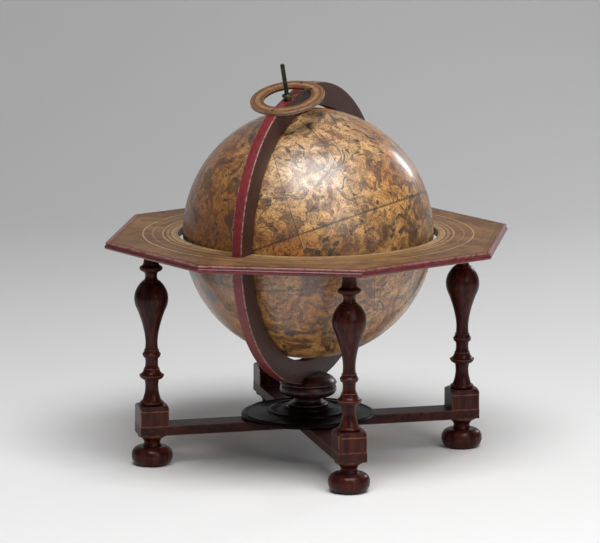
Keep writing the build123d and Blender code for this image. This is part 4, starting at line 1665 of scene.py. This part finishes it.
    def build(self, polar: PolarFrame) -> None:
        """Make and dress the stand."""
        mahogany = PolishedWood(
            "leg_mahogany", (0.021, 0.0036, 0.0030), (0.074, 0.0140, 0.0085), (0.36, 0.15, 0.08),
            wear=0.70, gloss=0.30, coat=0.16, shine=0.10,
        ).material()
        bar_wood = PolishedWood(
            "stretcher_mahogany", (0.022, 0.005, 0.0045), (0.066, 0.016, 0.011), (0.26, 0.11, 0.06),
            grain=(0.08, 1.0, 1.0), turn_deg=(0.0, 0.0, -45.0), wear=0.45, gloss=0.42, coat=0.04, shine=0.15,
        ).material()
        black = PolishedWood(
            "ebonised_wood", (0.005, 0.0025, 0.0025), (0.012, 0.005, 0.005), (0.060, 0.030, 0.024),
            grain=(1.0, 0.1, 1.0), wear=0.25, gloss=0.34, coat=0.10, shine=0.03,
        ).material()
        bobbin = PolishedWood(
            "bobbin_red_black", (0.013, 0.003, 0.003), (0.050, 0.010, 0.008), (0.16, 0.05, 0.035),
            grain=(1.0, 1.0, 0.2), wear=0.35, gloss=0.34, coat=0.16,
        ).material()
        ring_of_legs = RoundAbout("turned_legs", self.legs, self.circle * MM, 45)
        legs = ring_of_legs.build(self._leg(), mahogany)
        ring_of_feet = RoundAbout("bun_feet", self.legs, self.circle * MM, 45)
        feet = ring_of_feet.build(self._foot(), mahogany)
        reach, half = self.circle + self.block_width / 2, self.block_width / 2
        lower = self._bar("stretcher_lower_dressed", [(-reach, reach)], 45)
        upper = self._bar("stretcher_upper_dressed", [(-reach, -half), (half, reach)], 135)
        disc, pedestal = self._disc(), self._pedestal(polar)
        for made, finish in ((lower, bar_wood), (upper, bar_wood), (disc, black), (pedestal, bobbin)):
            made.data.materials.clear()
            made.data.materials.append(finish)
        numbers = [k + 1 for k in range(self.legs)]
        for made, nodes, slot in (
            (legs, [f"leg_{k}" for k in numbers], Slot.LEG),
            (feet, [f"foot_{k}" for k in numbers], Slot.LEG),
            (lower, ["stretcher_lower"], Slot.LEG),
            (upper, ["stretcher_upper"], Slot.LEG),
            (disc, ["base_disc"], Slot.BLACK),
            (pedestal, ["pedestal"], Slot.BLACK),
        ):
            install(made, Body.STAND, slot, *nodes)
        self.pieces = [legs, feet, lower, upper, disc, pedestal]


# The studio


@dataclass(frozen=True)
class SoftBox:
    """A rectangular lamp that faces the globe."""

    name: str
    right_deg: float
    up_deg: float
    away: float
    width: float
    height: float
    power: float

    def place(self, target: Vector, toward_camera_deg: float) -> None:
        """Hang the lamp.

        Args:
            target: What it faces.
            toward_camera_deg: The bearing of the camera, from +X towards +Y.
        """
        bearing = math.radians(toward_camera_deg + self.right_deg)
        rise = math.radians(self.up_deg)
        way = Vector((math.cos(bearing) * math.cos(rise), math.sin(bearing) * math.cos(rise), math.sin(rise)))
        lamp = bpy.data.lights.new(self.name, "AREA")
        lamp.shape, lamp.size, lamp.size_y, lamp.energy = "RECTANGLE", self.width, self.height, self.power
        made = bpy.data.objects.new(self.name, lamp)
        made.location = target + way * self.away
        made.rotation_mode = "QUATERNION"
        made.rotation_quaternion = (-way).to_track_quat("-Z", "Y")
        bpy.context.scene.collection.objects.link(made)


@dataclass
class Studio:
    """The pale sweep, the soft lamps and the camera."""

    bearing_deg: float = -59.2
    camera: tuple[float, float, float] = (2.0717, -3.4901, 0.9468)
    pitch_deg: float = 10.798
    lens: float = 270.0
    boxes: tuple[SoftBox, ...] = (
        SoftBox("key_box", 12, 64, 2.0, 1.6, 1.1, 43),
        SoftBox("rim_strip", 142, 17, 1.6, 0.20, 0.30, 2.6),
        SoftBox("front_fill", 32, 24, 2.4, 1.2, 1.2, 8),
    )
    air: float = 0.12
    floor_reach: float = 6.0
    curve_start: float = 1.2
    curve_radius: float = 0.9
    wall_top: float = 4.0
    # Painted falloff of light: the sweep's greys darken towards the back and up the wall, and pale towards
    # the right.
    painted_falloff_greys: tuple[tuple[float, float], ...] = ((-0.35, 0.90), (0.3, 0.86), (1.0, 0.74), (1.8, 0.64))
    painted_falloff_from: float = -0.4
    painted_falloff_to: float = 2.0
    painted_light_right: float = 0.16

    def _camera(self) -> None:
        """Make the camera that took the photograph's view."""
        data = bpy.data.cameras.new("view_camera")
        data.lens, data.sensor_width, data.sensor_fit = self.lens, 36.0, "HORIZONTAL"
        data.clip_start, data.clip_end = 0.1, 50.0
        made = bpy.data.objects.new("view_camera", data)
        made.location = self.camera
        yaw = math.radians(self.bearing_deg + 180)
        pitch = math.radians(self.pitch_deg)
        look = Vector((math.cos(yaw) * math.cos(pitch), math.sin(yaw) * math.cos(pitch), -math.sin(pitch)))
        made.rotation_mode = "QUATERNION"
        made.rotation_quaternion = look.to_track_quat("-Z", "Y")
        bpy.context.scene.collection.objects.link(made)
        bpy.context.scene.camera = made

    def _sweep(self) -> None:
        """The floor that curves up into the backdrop, with painted falloff of light in its greys, open to
        views from behind it.
        """
        start, radius, reach = self.curve_start, self.curve_radius, self.floor_reach
        angles = np.linspace(0.05, math.pi / 2, 24)
        rows = [(-reach, 0.0), (start, 0.0)]
        rows += [(start + radius * math.sin(a), radius - radius * math.cos(a)) for a in angles]
        rows.append((start + radius, self.wall_top))
        points = [(x, y, z) for x in (-reach, reach) for y, z in rows]
        count = len(rows)
        faces = [[k, k + count, k + count + 1, k + 1] for k in range(count - 1)]
        made = mesh_object("sweep", np.array(points), faces)
        made.data.transform(Matrix.Rotation(math.radians(self.bearing_deg + 90), 4, "Z"))
        paint = Paint("sweep_paper_painted_falloff")
        away = math.radians(self.bearing_deg + 180)
        back = paint.along(paint.place(), (math.cos(away), math.sin(away), 0.0))
        right = paint.along(paint.place(), (math.sin(away), -math.cos(away), 0.0))
        # Painted falloff of light: darker towards the back and up the wall, paler towards the right where the
        # key lamp stands.
        span = self.painted_falloff_to - self.painted_falloff_from
        stops = [((at - self.painted_falloff_from) / span, (g, g, g)) for at, g in self.painted_falloff_greys]
        painted_falloff_grey = paint.ramp((back - self.painted_falloff_from) / span, *stops)
        painted_falloff_grey = paint.mix(right.rise(-0.35, 0.35) * self.painted_light_right, painted_falloff_grey, (0.9, 0.9, 0.9))
        behind = Signal(paint, paint.node("ShaderNodeNewGeometry").outputs["Backfacing"])
        made.data.materials.append(paint.surface(painted_falloff_grey, 0.9, Alpha=1.0 - behind))

    def build(self) -> None:
        """Set up the camera, the sweep, the lamps and the world."""
        self._camera()
        self._sweep()
        for box in self.boxes:
            box.place(POLAR.centre(), self.bearing_deg)
        world = bpy.data.worlds.new("studio_air")
        world.use_nodes = True
        background = world.node_tree.nodes["Background"]
        background.inputs["Color"].default_value = (1, 1, 1, 1)
        background.inputs["Strength"].default_value = self.air
        bpy.context.scene.world = world
        bpy.context.scene.view_settings.view_transform = "Standard"


def main() -> None:
    """Build the globe, dress it, and light it."""
    logging.basicConfig(level=logging.INFO, format="%(message)s")
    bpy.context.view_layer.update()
    globe, meridian, index, horizon, stand = Globe(), Meridian(), Index(), Horizon(), Stand()
    globe.build(POLAR)
    meridian.build(POLAR)
    index.build(POLAR)
    horizon.build()
    stand.build(POLAR)
    for assembly in (globe, meridian, index, horizon, stand):
        for piece in assembly.pieces:
            triangles = sum(len(face.vertices) - 2 for face in piece.data.polygons)
            log.info("%s: %s, %d triangles", type(assembly).__name__, piece.name, triangles)
    Studio().build()
    bpy.context.view_layer.update()


if __name__ == "__main__":
    main()
